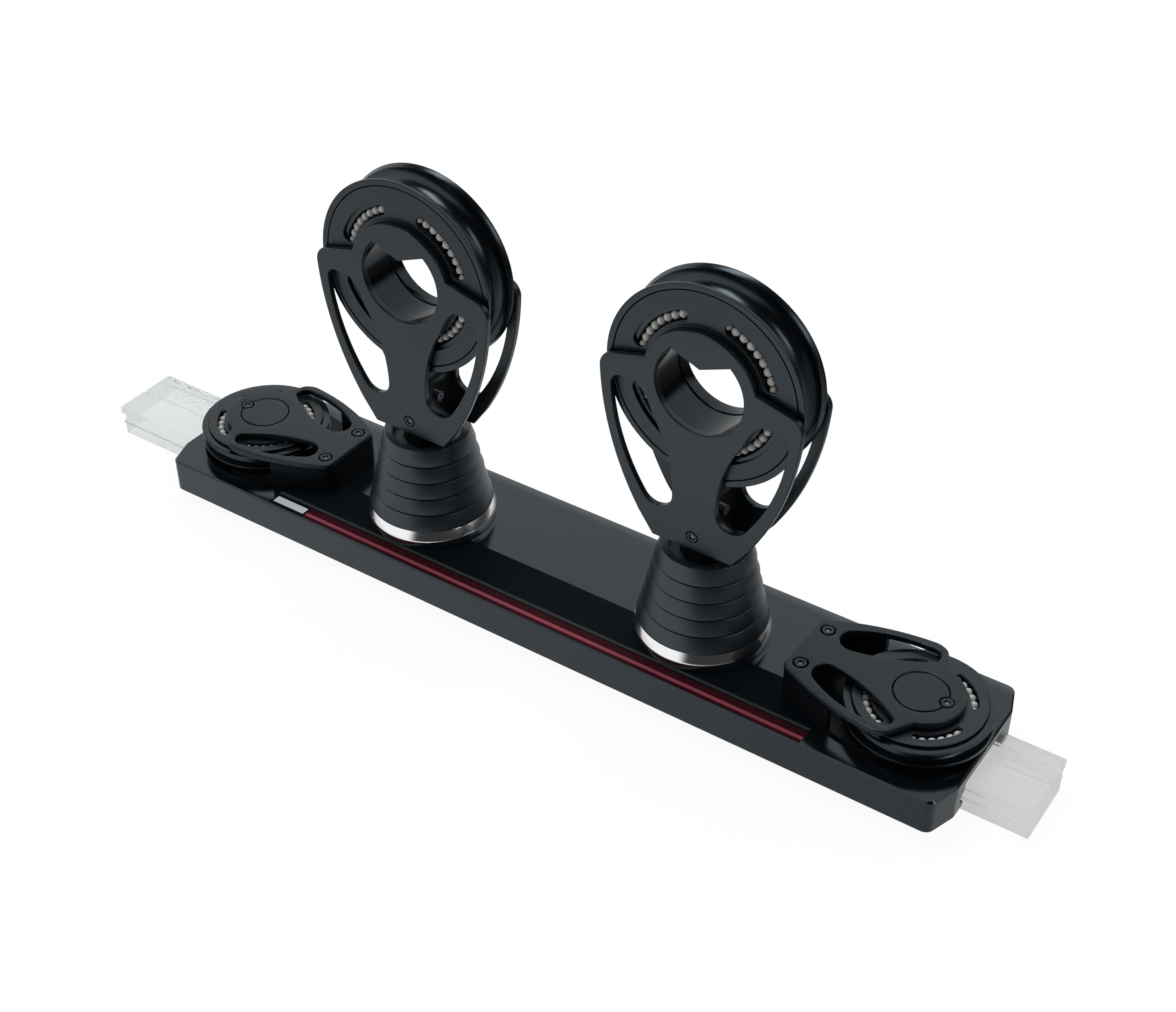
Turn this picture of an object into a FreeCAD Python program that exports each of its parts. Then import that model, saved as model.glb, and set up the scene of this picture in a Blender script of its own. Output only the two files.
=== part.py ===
import FreeCAD, Part
import math
import os

import Sketcher
from FreeCAD import Placement, Rotation, Vector

os.makedirs("parts", exist_ok=True)

# Driving dimensions in millimetres. Heights named _rise are taken from the car's top face.
SIZES = {
    # How far a cut runs past the face it starts from, and how far a hole runs past its screw.
    "cut_margin": 1.0,
    "hole_end_gap": 0.2,
    # The car body, a long slab with a channel underneath for the track.
    "car_length": 347.0,
    "car_width": 67.2,
    "car_height": 14.0,
    "corner_cut_length": 4.0,
    "corner_cut_width": 11.6,
    "corner_round": 3.5,
    "car_edge_chamfer": 0.7,
    # The loader, a dummy length of track that holds the balls in.
    "track_width": 29.0,
    "track_height": 14.0,
    "track_foot_width": 26.6,
    "track_groove_width": 1.2,
    "track_groove_depth": 0.7,
    "loader_length": 416.5,
    "loader_overhang_left": 46.0,
    "ride_height": 4.0,
    "channel_side_clearance": 0.6,
    "channel_top_clearance": 0.4,
    # Load-bearing balls that roll between the track and the channel walls.
    "load_ball_diameter": 4.76,
    "load_ball_pitch": 4.95,
    "race_clearance": 0.1,
    "race_offset": 0.7,
    "race_height": 8.5,
    "return_spacing": 8.8,
    "guide_length": 12.0,
    "guide_height": 8.0,
    "guide_width": 11.5,
    "guide_inset": 6.0,
    "guide_clearance": 0.1,
    # Where the blocks stand along the car. The gap is from a swivel base to the control block.
    "main_block_gap": 15.0,
    "control_block_inset": 25.6,
    # The bright swivel base and the stud captured in it.
    "base_radius": 25.2,
    "base_height": 7.0,
    "base_top_radius": 23.2,
    "base_edge_height": 3.2,
    "stud_disc_radius": 14.0,
    "stud_disc_height": 3.2,
    "stud_neck_radius": 10.0,
    "stud_neck_top_rise": 8.0,
    "swivel_clearance": 0.08,
    "base_screw_circle_radius": 18.8,
    "base_screw_radius": 1.5,
    "base_screw_head_radius": 2.4,
    "base_screw_head_height": 1.4,
    "screw_hole_clearance": 0.05,
    "car_screw_depth": 3.0,
    # The toggle and its two crossed pins.
    "lower_pin_rise": 16.0,
    "upper_pin_rise": 27.0,
    "pin_radius": 2.45,
    "pin_clearance": 0.05,
    "lug_thickness": 3.3,
    "lug_radius": 5.0,
    "toggle_width": 10.0,
    "toggle_side_gap": 0.2,
    "toggle_tongue_radius": 4.6,
    "toggle_depth": 15.0,
    "toggle_shoulder": 2.0,
    "fork_floor_gap": 0.4,
    # The head post between the cheek plates.
    "eye_thickness": 8.0,
    "neck_radius": 8.8,
    "neck_bottom_rise": 34.0,
    "neck_top_gap": 0.2,
    "post_width": 12.0,
    "post_height": 26.0,
    "head_screw_height": 14.0,
    "head_screw_radius": 2.0,
    "head_screw_head": 1.4,
    "head_screw_shank_radius": 1.0,
    "head_screw_shank": 3.0,
    # The ribbed boot that holds the block upright.
    "boot_foot_radius": 23.4,
    "boot_top_radius": 16.4,
    "boot_foot_height": 2.0,
    "boot_top_rise": 39.5,
    "boot_groove_depth": 1.5,
    "boot_groove_height": 1.0,
    "boot_rib_flare": 0.9,
    "boot_wall": 1.6,
    "boot_web_drop": 3.0,
    "boot_web_thickness": 2.0,
    "boot_web_clearance": 0.4,
    # The stand-up block: cheek plates.
    "hub_rise": 108.35,
    "cheek_outer_face": 10.4,
    "cheek_thickness": 2.5,
    "cheek_head_radius": 21.8,
    "cheek_shoulder_in_height": 6.0,
    "cheek_shoulder_out_x": 35.4,
    "cheek_shoulder_out_height": 2.2,
    "cheek_tip_x": 38.5,
    "cheek_tip_drop": 3.5,
    "cheek_tip_radius": 6.3,
    "cheek_side_radius": 114.8,
    "cheek_waist_x": 22.0,
    "cheek_waist_drop": 57.5,
    "cheek_foot_x": 16.0,
    "cheek_drop": 66.0,
    "window_top_drop": 5.2,
    "window_top_in_x": 24.0,
    "window_top_out_x": 30.6,
    "window_out_x": 33.9,
    "window_out_drop": 9.2,
    "window_out_corner": 4.2,
    "window_out_radius": 79.0,
    "window_foot_out_x": 19.9,
    "window_foot_out_drop": 50.2,
    "window_foot_radius": 6.3,
    "window_foot_in_x": 8.7,
    "window_foot_in_drop": 47.0,
    "window_in_radius": 55.0,
    "window_in_x": 17.5,
    "window_in_drop": 15.5,
    "window_in_corner": 20.0,
    "cheek_screw_drop": 60.5,
    "cheek_screw_head_radius": 2.1,
    "cheek_screw_head_height": 1.0,
    "cheek_screw_radius": 1.2,
    "cheek_screw_length": 6.5,
    # The open hub, its bush and the sheave.
    "hub_bore_radius": 16.8,
    "hub_tube_wall": 1.7,
    "hub_flange_radius": 19.7,
    "hub_flange_thickness": 1.0,
    "hub_seat_clearance": 0.05,
    "hub_nut_length": 4.9,
    "hub_tab_half_width": 12.0,
    "hub_tab_tip_height": 8.2,
    "bush_outer_radius": 20.5,
    "bush_end_gap": 0.3,
    "bush_clearance": 0.05,
    "sheave_radius": 37.5,
    "sheave_half_width": 7.5,
    "sheave_face_half": 6.2,
    "sheave_recess_radius": 35.1,
    "sheave_groove_radius": 5.5,
    "sheave_groove_centre": 36.5,
    "sheave_lip_half": 6.9,
    "side_ball_diameter": 3.18,
    "side_ball_circle_radius": 25.4,
    "side_race_half_width": 1.8,
    "side_race_floor": 3.0,
    "retainer_radius": 34.8,
    "retainer_thickness": 1.0,
    "retainer_face": 7.4,
    "retainer_collar_radius": 22.8,
    "retainer_slot_circle_radius": 26.2,
    "retainer_slot_width": 5.4,
    # The control blocks that lie flat at the ends of the car.
    "control_base_thickness": 1.4,
    "control_plate_top_rise": 12.8,
    "control_plate_thickness": 2.5,
    "control_inner_reach": 45.9,
    "control_inner_half": 11.5,
    "control_corner_reach": 43.8,
    "control_corner_half": 15.0,
    "control_corner_radius": 4.0,
    "control_side_radius": 95.0,
    "control_side_reach": 6.9,
    "control_side_half": 25.7,
    "control_shoulder_radius": 7.7,
    "control_shoulder_reach": 0.9,
    "control_shoulder_half": 23.6,
    "control_ring_radius": 15.6,
    "control_ring_x": 4.3,
    "control_window_end_reach": 34.4,
    "control_window_end_half": 13.9,
    "control_window_out_radius": 46.0,
    "control_window_out_reach": 7.2,
    "control_window_out_half": 22.2,
    "control_window_corner": 4.2,
    "control_window_near_reach": 1.8,
    "control_window_near_half": 17.0,
    "control_window_in_radius": 62.0,
    "control_window_in_reach": 29.9,
    "control_window_in_half": 5.2,
    "control_window_end_radius": 5.2,
    "control_cap_radius": 9.7,
    "control_cap_clearance": 0.1,
    "control_spacer_wall": 2.6,
    "control_spacer_block": 9.4,
    "control_spacer_step": 0.5,
    "control_spacer_reach": 22.9,
    "control_post_radius": 12.2,
    "control_bush_radius": 13.5,
    "control_sheave_radius": 26.0,
    "control_sheave_bottom": 1.8,
    "control_sheave_top": 8.8,
    "control_sheave_face": 8.5,
    "control_sheave_recess_radius": 23.5,
    "control_groove_radius": 2.7,
    "control_groove_centre": 24.6,
    "control_lip_half": 3.0,
    "control_ball_diameter": 3.18,
    "control_ball_circle_radius": 18.4,
    "control_ball_height": 7.0,
    "control_race_half_width": 1.8,
    "control_race_floor": 5.2,
    "control_retainer_radius": 23.1,
    "control_retainer_bottom": 8.7,
    "control_retainer_top": 9.8,
    "control_collar_radius": 14.9,
    "control_slot_width": 2.8,
    "control_screw_reach": 40.9,
    "control_screw_half": 10.1,
    "control_hub_screw_x": 9.6,
    "control_screw_head_radius": 2.2,
    "control_screw_head_height": 1.0,
    "control_screw_radius": 1.1,
    "control_hub_screw_length": 6.0,
}
BOOT_RIBS = 5
SLOTS = 4
SLOT_START = 45.0
SLOT_HALF_ANGLE = 23.5
SIDE_BALLS = 48
CONTROL_BALLS = 35
BASE_SCREWS = 4
SOCKET_SHARE = 0.5
SOCKET_DEPTH_SHARE = 0.7

doc = FreeCAD.newDocument("TravellerCar")
sheet = doc.addObject("Spreadsheet::Sheet", "Sizes")
for row, (alias, number) in enumerate(SIZES.items(), start=1):
    sheet.set(f"A{row}", alias)
    sheet.set(f"B{row}", str(number))
    sheet.setAlias(f"B{row}", alias)
doc.recompute()


class Size:
    """A length that carries both its number and the sheet formula it comes from."""

    def __init__(self, number, formula=None):
        self.number = float(number)
        self.formula = formula or repr(float(number))

    @staticmethod
    def of(value):
        return value if isinstance(value, Size) else Size(value)

    def join(self, other, sign, number):
        return Size(number, f"({self.formula} {sign} {other.formula})")

    def __add__(self, other):
        other = Size.of(other)
        return self.join(other, "+", self.number + other.number)

    def __sub__(self, other):
        other = Size.of(other)
        return self.join(other, "-", self.number - other.number)

    def __mul__(self, other):
        other = Size.of(other)
        return self.join(other, "*", self.number * other.number)

    def __truediv__(self, other):
        other = Size.of(other)
        return self.join(other, "/", self.number / other.number)

    def __radd__(self, other):
        return Size.of(other) + self

    def __rsub__(self, other):
        return Size.of(other) - self

    def __rmul__(self, other):
        return self * other

    def __neg__(self):
        return Size(-self.number, f"(0 - {self.formula})")

    def root(self):
        return Size(math.sqrt(self.number), f"sqrt({self.formula})")


class Sizes:
    """Gives each cell of the sheet as a Size, by its alias."""

    def __getattr__(self, alias):
        return Size(sheet.get(alias), f"Sizes.{alias}")


size = Sizes()
over = size.cut_margin


def bind(thing, name, value):
    """Ties one property of an object to its formula."""
    thing.setExpression(name, Size.of(value).formula)


def place(thing, x=0, y=0, z=0, axis=(0, 0, 1), turn=0.0):
    """Puts a sub-part in the car's frame, turned about an axis through its own origin."""
    thing.Placement = Placement(Vector(), Rotation(Vector(*axis), turn))
    for name, value in (("x", x), ("y", y), ("z", z)):
        bind(thing, f"Placement.Base.{name}", value)


def new_body(label):
    body = doc.addObject("PartDesign::Body", label)
    body.Label = label
    return body


def sketch_on(body, role):
    """A sketch on one of the body's own origin planes."""
    plane = next(f for f in body.Origin.OriginFeatures if f.Role == role)
    sketch = body.newObject("Sketcher::SketchObject", f"{body.Label}_outline")
    sketch.AttachmentSupport = [(plane, "")]
    sketch.MapMode = "FlatFace"
    return sketch


def hold_point(sketch, edge, end, u, v):
    """Fixes one end of an edge at (u, v) from the sketch's origin."""
    for kind, value in (("DistanceX", Size.of(u)), ("DistanceY", Size.of(v))):
        index = sketch.addConstraint(Sketcher.Constraint(kind, -1, 1, edge, end, value.number))
        bind(sketch, f"Constraints[{index}]", value)


HALF_LEFT = "half round that turns left"
HALF_RIGHT = "half round that turns right"
HALF_ROUNDS = (HALF_LEFT, HALF_RIGHT)


def arc_between(start, finish, radius):
    """The arc from start to finish. A positive radius turns left, a negative one right."""
    chord = finish - start
    half = chord.Length / 2
    reach = math.sqrt(max(radius * radius - half * half, 0.0))
    left = Vector(-chord.y, chord.x, 0).normalize()
    centre = start + chord * 0.5 + left * math.copysign(reach, radius)
    first, last = (start, finish) if radius > 0 else (finish, start)
    angles = [math.atan2(p.y - centre.y, p.x - centre.x) for p in (first, last)]
    return Part.ArcOfCircle(Part.Circle(centre, Vector(0, 0, 1), abs(radius)), *angles)


def hold_arc(sketch, edge, here, there):
    """Settles an arc's size: by its radius, or by its centre where it is a half round."""
    if here[2] not in HALF_ROUNDS:
        reach = here[2] if here[2].number > 0 else -here[2]
        index = sketch.addConstraint(Sketcher.Constraint("Radius", edge, reach.number))
        bind(sketch, f"Constraints[{index}]", reach)
        return
    wide = abs((there[0] - here[0]).number) > abs((there[1] - here[1]).number)
    middle = (here[1] + there[1]) / 2 if wide else (here[0] + there[0]) / 2
    kind = "DistanceY" if wide else "DistanceX"
    index = sketch.addConstraint(Sketcher.Constraint(kind, -1, 1, edge, 3, middle.number))
    bind(sketch, f"Constraints[{index}]", middle)


def loop(sketch, path):
    """A closed outline. Each corner is (u, v) or (u, v, radius of the arc that leaves it)."""
    corners = [tuple(v if v in HALF_ROUNDS else Size.of(v) for v in corner) for corner in path]
    ends = []
    for here, there in zip(corners, corners[1:] + corners[:1]):
        start = Vector(here[0].number, here[1].number, 0)
        finish = Vector(there[0].number, there[1].number, 0)
        if len(here) == 2:
            edge = sketch.addGeometry(Part.LineSegment(start, finish))
            ends.append((edge, 1, 2))
            continue
        half = (finish - start).Length / 2
        radius = {HALF_LEFT: half, HALF_RIGHT: -half}.get(here[2])
        if radius is None:
            radius = here[2].number
        edge = sketch.addGeometry(arc_between(start, finish, radius))
        ends.append((edge, 1, 2) if radius > 0 else (edge, 2, 1))
    for (edge, _, finish), (following, start, _) in zip(ends, ends[1:] + ends[:1]):
        sketch.addConstraint(Sketcher.Constraint("Coincident", edge, finish, following, start))
    for (edge, start, _), here, there in zip(ends, corners, corners[1:] + corners[:1]):
        hold_point(sketch, edge, start, here[0], here[1])
        if len(here) == 3:
            hold_arc(sketch, edge, here, there)


def circle(sketch, u, v, radius):
    u, v, radius = Size.of(u), Size.of(v), Size.of(radius)
    centre = Vector(u.number, v.number, 0)
    edge = sketch.addGeometry(Part.Circle(centre, Vector(0, 0, 1), radius.number))
    hold_point(sketch, edge, 3, u, v)
    index = sketch.addConstraint(Sketcher.Constraint("Radius", edge, radius.number))
    bind(sketch, f"Constraints[{index}]", radius)


def box_loop(sketch, u_low, u_high, v_low, v_high):
    loop(sketch, [(u_low, v_low), (u_high, v_low), (u_high, v_high), (u_low, v_high)])


def pad(body, sketch, length, both_ways=False, backwards=False):
    feature = body.newObject("PartDesign::Pad", f"{body.Label}_pad")
    feature.Profile = sketch
    feature.SideType = "Symmetric" if both_ways else "One side"
    feature.Reversed = backwards
    bind(feature, "Length", length)
    doc.recompute()
    return feature


def pocket(body, sketch, length=None, both_ways=False, backwards=False):
    """Cuts the sketch out of the body and makes sure that something was cut."""
    before = body.Shape.Volume
    feature = body.newObject("PartDesign::Pocket", f"{body.Label}_pocket")
    feature.Profile = sketch
    feature.SideType = "Symmetric" if both_ways else "One side"
    feature.Reversed = backwards
    if length is None:
        feature.Type = "ThroughAll"
    else:
        bind(feature, "Length", length)
    doc.recompute()
    if not body.Shape.Volume < before:
        raise RuntimeError(f"{body.Label}: a pocket cuts nothing")
    return feature


def turned(label, plane, profile):
    """A turned piece: the profile's u is the radius and its v runs along the axis."""
    body = new_body(label)
    sketch = sketch_on(body, plane)
    loop(sketch, profile)
    feature = body.newObject("PartDesign::Revolution", f"{label}_turned")
    feature.Profile = sketch
    feature.ReferenceAxis = (sketch, ["V_Axis"])
    doc.recompute()
    return body


def chamfer(body, edges_of, width):
    """Breaks the edges that the test picks."""
    base = body.Tip
    names = [f"Edge{i}" for i, edge in enumerate(base.Shape.Edges, start=1) if edges_of(edge)]
    feature = body.newObject("PartDesign::Chamfer", f"{body.Label}_chamfer")
    feature.Base = (base, names)
    bind(feature, "Size", width)
    doc.recompute()
    return feature


def fillet(body, edges_of, radius):
    """Rounds the edges that the test picks."""
    base = body.Tip
    names = [f"Edge{i}" for i, edge in enumerate(base.Shape.Edges, start=1) if edges_of(edge)]
    feature = body.newObject("PartDesign::Fillet", f"{body.Label}_fillet")
    feature.Base = (base, names)
    bind(feature, "Radius", radius)
    doc.recompute()
    return feature


def rod(label, radius, length, x=0, y=0, z=0, axis=(0, 0, 1), turn=0.0):
    thing = doc.addObject("Part::Cylinder", label)
    thing.Label = label
    bind(thing, "Radius", radius)
    bind(thing, "Height", length)
    place(thing, x, y, z, axis, turn)
    return thing


def gathered(label, things):
    """Several loose pieces kept together under one name."""
    group = doc.addObject("Part::Compound", label)
    group.Label = label
    group.Links = things
    return group


def joined(label, base, tool, kind="Part::Fuse"):
    thing = doc.addObject(kind, label)
    thing.Label = label
    thing.Base = base
    thing.Tool = tool
    return thing


def screw(label, head_radius, head_height, shank_radius, shank, x, y, z, axis=(0, 0, 1), turn=0.0):
    """A socket screw with its head's face at the given point, its shank running down from it."""
    body = turned(label, "XZ_Plane", [
        (0, 0),
        (head_radius, 0),
        (head_radius, -Size.of(head_height)),
        (shank_radius, -Size.of(head_height)),
        (shank_radius, -(Size.of(head_height) + shank)),
        (0, -(Size.of(head_height) + shank)),
    ])
    socket = sketch_on(body, "XY_Plane")
    loop(socket, [polar(head_radius * SOCKET_SHARE, 60 * corner) for corner in range(6)])
    pocket(body, socket, Size.of(head_height) * SOCKET_DEPTH_SHARE)
    place(body, x, y, z, axis, turn)
    return body


def ball_solid(centre, radius):
    """A small bearing ball as a twenty-sided solid."""
    golden = (1 + math.sqrt(5)) / 2
    scale = radius / math.hypot(1, golden)
    signs = [(a, b) for a in (-1, 1) for b in (-1, 1)]
    points = [Vector(0, a, b * golden) for a, b in signs]
    points += [Vector(a, b * golden, 0) for a, b in signs]
    points += [Vector(a * golden, 0, b) for a, b in signs]
    points = [centre + point * scale for point in points]
    side = 2.0 * scale * 1.001
    near = [(i, j) for i in range(12) for j in range(i + 1, 12)
            if (points[i] - points[j]).Length < side]
    faces = []
    for i, j in near:
        for k in range(j + 1, 12):
            if (i, k) in near and (j, k) in near:
                corners = [points[i], points[j], points[k], points[i]]
                faces.append(Part.Face(Part.makePolygon(corners)))
    solid = Part.Solid(Part.Shell(faces))
    if solid.Volume < 0:
        solid.reverse()
    return solid


def ball_ring(label, count, circle_radius, height, ball_radius, along_y):
    """A full ring of balls about the Z axis, or about the Y axis of a stand-up block."""
    balls = []
    for index in range(count):
        across, up = polar(circle_radius.number, 360 * index / count)
        away = height.number
        centre = Vector(across, away, up) if along_y else Vector(across, up, away)
        balls.append(ball_solid(centre, ball_radius.number))
    ring = doc.addObject("Part::Feature", label)
    ring.Label = label
    ring.Shape = Part.makeCompound(balls)
    return ring


def polar(radius, degrees):
    """A point at a radius and an angle."""
    angle = math.radians(degrees)
    return radius * math.cos(angle), radius * math.sin(angle)


def slot_ring(body, plane, ball_circle, width, half_angle, depth):
    """Curved slots, evenly spaced round the axis, that show the balls."""
    sketch = sketch_on(body, plane)
    outer = ball_circle + width / 2
    inner = ball_circle - width / 2
    low, high = SLOT_START - half_angle, SLOT_START + half_angle
    loop(sketch, [
        (*polar(outer, low), outer),
        (*polar(outer, high), HALF_LEFT),
        (*polar(inner, high), -inner),
        (*polar(inner, low), HALF_LEFT),
    ])
    cut = pocket(body, sketch, depth, both_ways=True)
    axis = next(f for f in body.Origin.OriginFeatures if f.Role == plane_axis[plane])
    pattern = body.newObject("PartDesign::PolarPattern", f"{body.Label}_slots")
    pattern.Originals = [cut]
    pattern.Axis = (axis, [""])
    pattern.Angle = 360
    pattern.Occurrences = SLOTS
    body.Tip = pattern
    doc.recompute()


plane_axis = {"XY_Plane": "Z_Axis", "XZ_Plane": "Y_Axis"}
car_top = size.ride_height + size.car_height
car_half = size.car_length / 2
track_half = size.track_width / 2
channel_half = track_half + size.channel_side_clearance
channel_top = size.track_height + size.channel_top_clearance - size.ride_height
race_y = track_half + size.race_offset
race_z = size.race_height - size.ride_height
return_y = race_y + size.return_spacing
load_ball_radius = size.load_ball_diameter / 2
race_radius = load_ball_radius + size.race_clearance
guide_x = car_half - size.guide_inset - size.guide_length
control_hub_x = car_half - size.control_block_inset
main_block_x = control_hub_x - size.control_inner_reach - size.main_block_gap - size.base_radius
base_screws = []
control_screws = []
control_rings = []


# The car body is one machined slab. Its origin is at the middle of its underside.
def make_car_body():
    body = new_body("car_body")
    plan = sketch_on(body, "XY_Plane")
    half = size.car_width / 2
    cut_x = car_half - size.corner_cut_length
    cut_y = half - size.corner_cut_width
    loop(plan, [
        (-cut_x, -half), (cut_x, -half), (car_half, -cut_y), (car_half, cut_y),
        (cut_x, half), (-cut_x, half), (-car_half, cut_y), (-car_half, -cut_y),
    ])
    pad(body, plan, size.car_height)

    def upright(edge):
        box = edge.BoundBox
        return box.XLength + box.YLength < 1e-6

    fillet(body, upright, size.corner_round)
    channel = sketch_on(body, "YZ_Plane")
    box_loop(channel, -channel_half, channel_half, -over, channel_top)
    pocket(body, channel, size.car_length + over * 2, both_ways=True)
    races = sketch_on(body, "YZ_Plane")
    for side in (-1, 1):
        circle(races, side * race_y, race_z, race_radius)
    pocket(body, races, size.car_length + over * 2, both_ways=True)
    returns = sketch_on(body, "YZ_Plane")
    for side in (-1, 1):
        circle(returns, side * return_y, race_z, race_radius)
    pocket(body, returns, guide_x * 2 + size.guide_length, both_ways=True)
    corners = sketch_on(body, "XY_Plane")
    for end in (-1, 1):
        for side in (-1, 1):
            near, far = guide_x, guide_x + size.guide_length
            inner = channel_half - over
            outer = channel_half + size.guide_width
            low_x, high_x = (near, far) if end > 0 else (-far, -near)
            low_y, high_y = (inner, outer) if side > 0 else (-outer, -inner)
            box_loop(corners, low_x, high_x, low_y, high_y)
    pocket(body, corners, size.guide_height, backwards=True)
    holes = sketch_on(body, "XY_Plane")
    for end in (-1, 1):
        for index in range(BASE_SCREWS):
            across, along = polar(size.base_screw_circle_radius, 45 + 360 * index / BASE_SCREWS)
            hole = size.base_screw_radius + size.screw_hole_clearance
            circle(holes, end * main_block_x + across, along, hole)
        for side in (-1, 1):
            reach = end * (control_hub_x - size.control_screw_reach)
            hole = size.control_screw_radius + size.screw_hole_clearance
            circle(holes, reach, side * size.control_screw_half, hole)
    bind(holes, "AttachmentOffset.Base.z", size.car_height - size.car_screw_depth - size.hole_end_gap)
    pocket(body, holes, size.car_screw_depth + over, backwards=True)

    def on_top_rim(edge):
        box = edge.BoundBox
        top = abs(box.ZMin - size.car_height.number) < 1e-6
        straight = edge.Curve.TypeId == "Part::GeomLine"
        return top and straight and edge.Length > size.corner_cut_length.number

    chamfer(body, on_top_rim, size.car_edge_chamfer)
    place(body, z=size.ride_height)
    return body


# The loader has the track's section, so the balls stay in their races while it is in.
def make_loader():
    body = new_body("track_loader")
    section = sketch_on(body, "YZ_Plane")
    foot = size.track_foot_width / 2
    waist = size.race_height - race_radius
    loop(section, [
        (-foot, 0), (foot, 0), (foot, waist), (track_half, waist),
        (track_half, size.track_height), (-track_half, size.track_height),
        (-track_half, waist), (-foot, waist),
    ])
    pad(body, section, size.loader_length)
    races = sketch_on(body, "YZ_Plane")
    for side in (-1, 1):
        circle(races, side * race_y, size.race_height, race_radius + size.race_clearance)
    pocket(body, races, size.loader_length + over, backwards=True)
    groove = sketch_on(body, "YZ_Plane")
    half = size.track_groove_width / 2
    box_loop(groove, -half, half, size.track_height - size.track_groove_depth, size.track_height + over)
    pocket(body, groove, size.loader_length + over, backwards=True)
    place(body, x=-(car_half + size.loader_overhang_left))
    return body


# Load balls run in the races on both sides of the track.
def make_load_balls():
    run = 2 * guide_x.number
    pitch = size.load_ball_pitch.number
    count = int(run // pitch)
    balls = []
    for side in (-1, 1):
        for index in range(count):
            along = (index - (count - 1) / 2) * pitch
            centre = Vector(along, side * race_y.number, size.race_height.number)
            balls.append(ball_solid(centre, load_ball_radius.number))
    rows = doc.addObject("Part::Feature", "load_balls")
    rows.Label = "load_balls"
    rows.Shape = Part.makeCompound(balls)


# Each guide turns the balls round from the race into the return tunnel.
def make_ball_guides():
    guides = []
    gap = size.guide_clearance
    for end in (-1, 1):
        for side in (-1, 1):
            name = f"guide_{'left' if end < 0 else 'right'}_{'front' if side < 0 else 'back'}"
            block = doc.addObject("Part::Box", f"{name}_block")
            bind(block, "Length", size.guide_length - gap * 2)
            bind(block, "Width", size.guide_width - gap - size.race_offset)
            bind(block, "Height", size.guide_height - gap)
            near = guide_x + gap if end > 0 else -(guide_x + size.guide_length - gap)
            inner = channel_half + size.race_offset
            outer = -(channel_half + size.guide_width - gap)
            place(block, near, inner if side > 0 else outer, size.ride_height)
            middle = race_y + size.return_spacing / 2
            turn = rod(f"{name}_turn", size.return_spacing / 2 + race_radius, race_radius * 2,
                       end * (guide_x + gap), side * middle, size.race_height - race_radius)
            guides.append(joined(name, block, turn, "Part::Cut"))
    gathered("ball_guides", guides)


# The bright swivel base is a turned ring, screwed to the car, that keeps the stud's disc in.
def make_swivel_base(side, block_x):
    cavity = size.stud_disc_radius + size.swivel_clearance
    ceiling = size.stud_disc_height + size.swivel_clearance * 2
    body = turned(f"{side}_swivel_base", "XZ_Plane", [
        (cavity, 0),
        (size.base_radius, 0),
        (size.base_radius, size.base_edge_height),
        (size.base_top_radius, size.base_height),
        (size.stud_neck_radius + size.swivel_clearance, size.base_height),
        (size.stud_neck_radius + size.swivel_clearance, ceiling),
        (cavity, ceiling),
    ])
    shanks = sketch_on(body, "XY_Plane")
    heads = sketch_on(body, "XY_Plane")
    for index in range(BASE_SCREWS):
        across, along = polar(size.base_screw_circle_radius, 45 + 360 * index / BASE_SCREWS)
        circle(shanks, across, along, size.base_screw_radius + size.screw_hole_clearance)
        circle(heads, across, along, size.base_screw_head_radius + size.screw_hole_clearance)
    pocket(body, shanks, size.base_height + over, backwards=True)
    bind(heads, "AttachmentOffset.Base.z", size.base_height - size.base_screw_head_height)
    pocket(body, heads, size.base_screw_head_height + over, backwards=True)
    place(body, x=block_x, z=car_top)
    for index in range(BASE_SCREWS):
        across, along = polar(size.base_screw_circle_radius, 45 + 360 * index / BASE_SCREWS)
        base_screws.append(screw(
            f"{side}_base_screw_{index + 1}",
            size.base_screw_head_radius, size.base_screw_head_height, size.base_screw_radius,
            size.base_height - size.base_screw_head_height + size.car_screw_depth,
            block_x + across, along, car_top + size.base_height,
        ))


# The stud turns in the base and carries two lugs with the lower pin across them.
def make_swivel_stud(side, block_x):
    lift = size.swivel_clearance
    body = turned(f"{side}_swivel_stud", "XZ_Plane", [
        (0, lift),
        (size.stud_disc_radius, lift),
        (size.stud_disc_radius, lift + size.stud_disc_height),
        (size.stud_neck_radius, lift + size.stud_disc_height),
        (size.stud_neck_radius, size.stud_neck_top_rise),
        (0, size.stud_neck_top_rise),
    ])
    half = size.lug_radius
    lugs = sketch_on(body, "YZ_Plane")
    loop(lugs, [
        (-half, size.stud_neck_top_rise - over),
        (half, size.stud_neck_top_rise - over),
        (half, size.lower_pin_rise, HALF_LEFT),
        (-half, size.lower_pin_rise),
    ])
    spread = size.toggle_width + size.toggle_side_gap * 2
    pad(body, lugs, spread + size.lug_thickness * 2, both_ways=True)
    gap = sketch_on(body, "YZ_Plane")
    box_loop(gap, -half - over, half + over, size.stud_neck_top_rise, size.lower_pin_rise + half + over)
    pocket(body, gap, spread, both_ways=True)
    bore = sketch_on(body, "YZ_Plane")
    circle(bore, 0, size.lower_pin_rise, size.pin_radius + size.pin_clearance)
    pocket(body, bore, spread + size.lug_thickness * 2 + over, both_ways=True)
    place(body, x=block_x, z=car_top)
    length = spread + size.lug_thickness * 2
    rod(f"{side}_lower_pin", size.pin_radius, length,
        block_x - length / 2, 0, car_top + size.lower_pin_rise, (0, 1, 0), 90)


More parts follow.
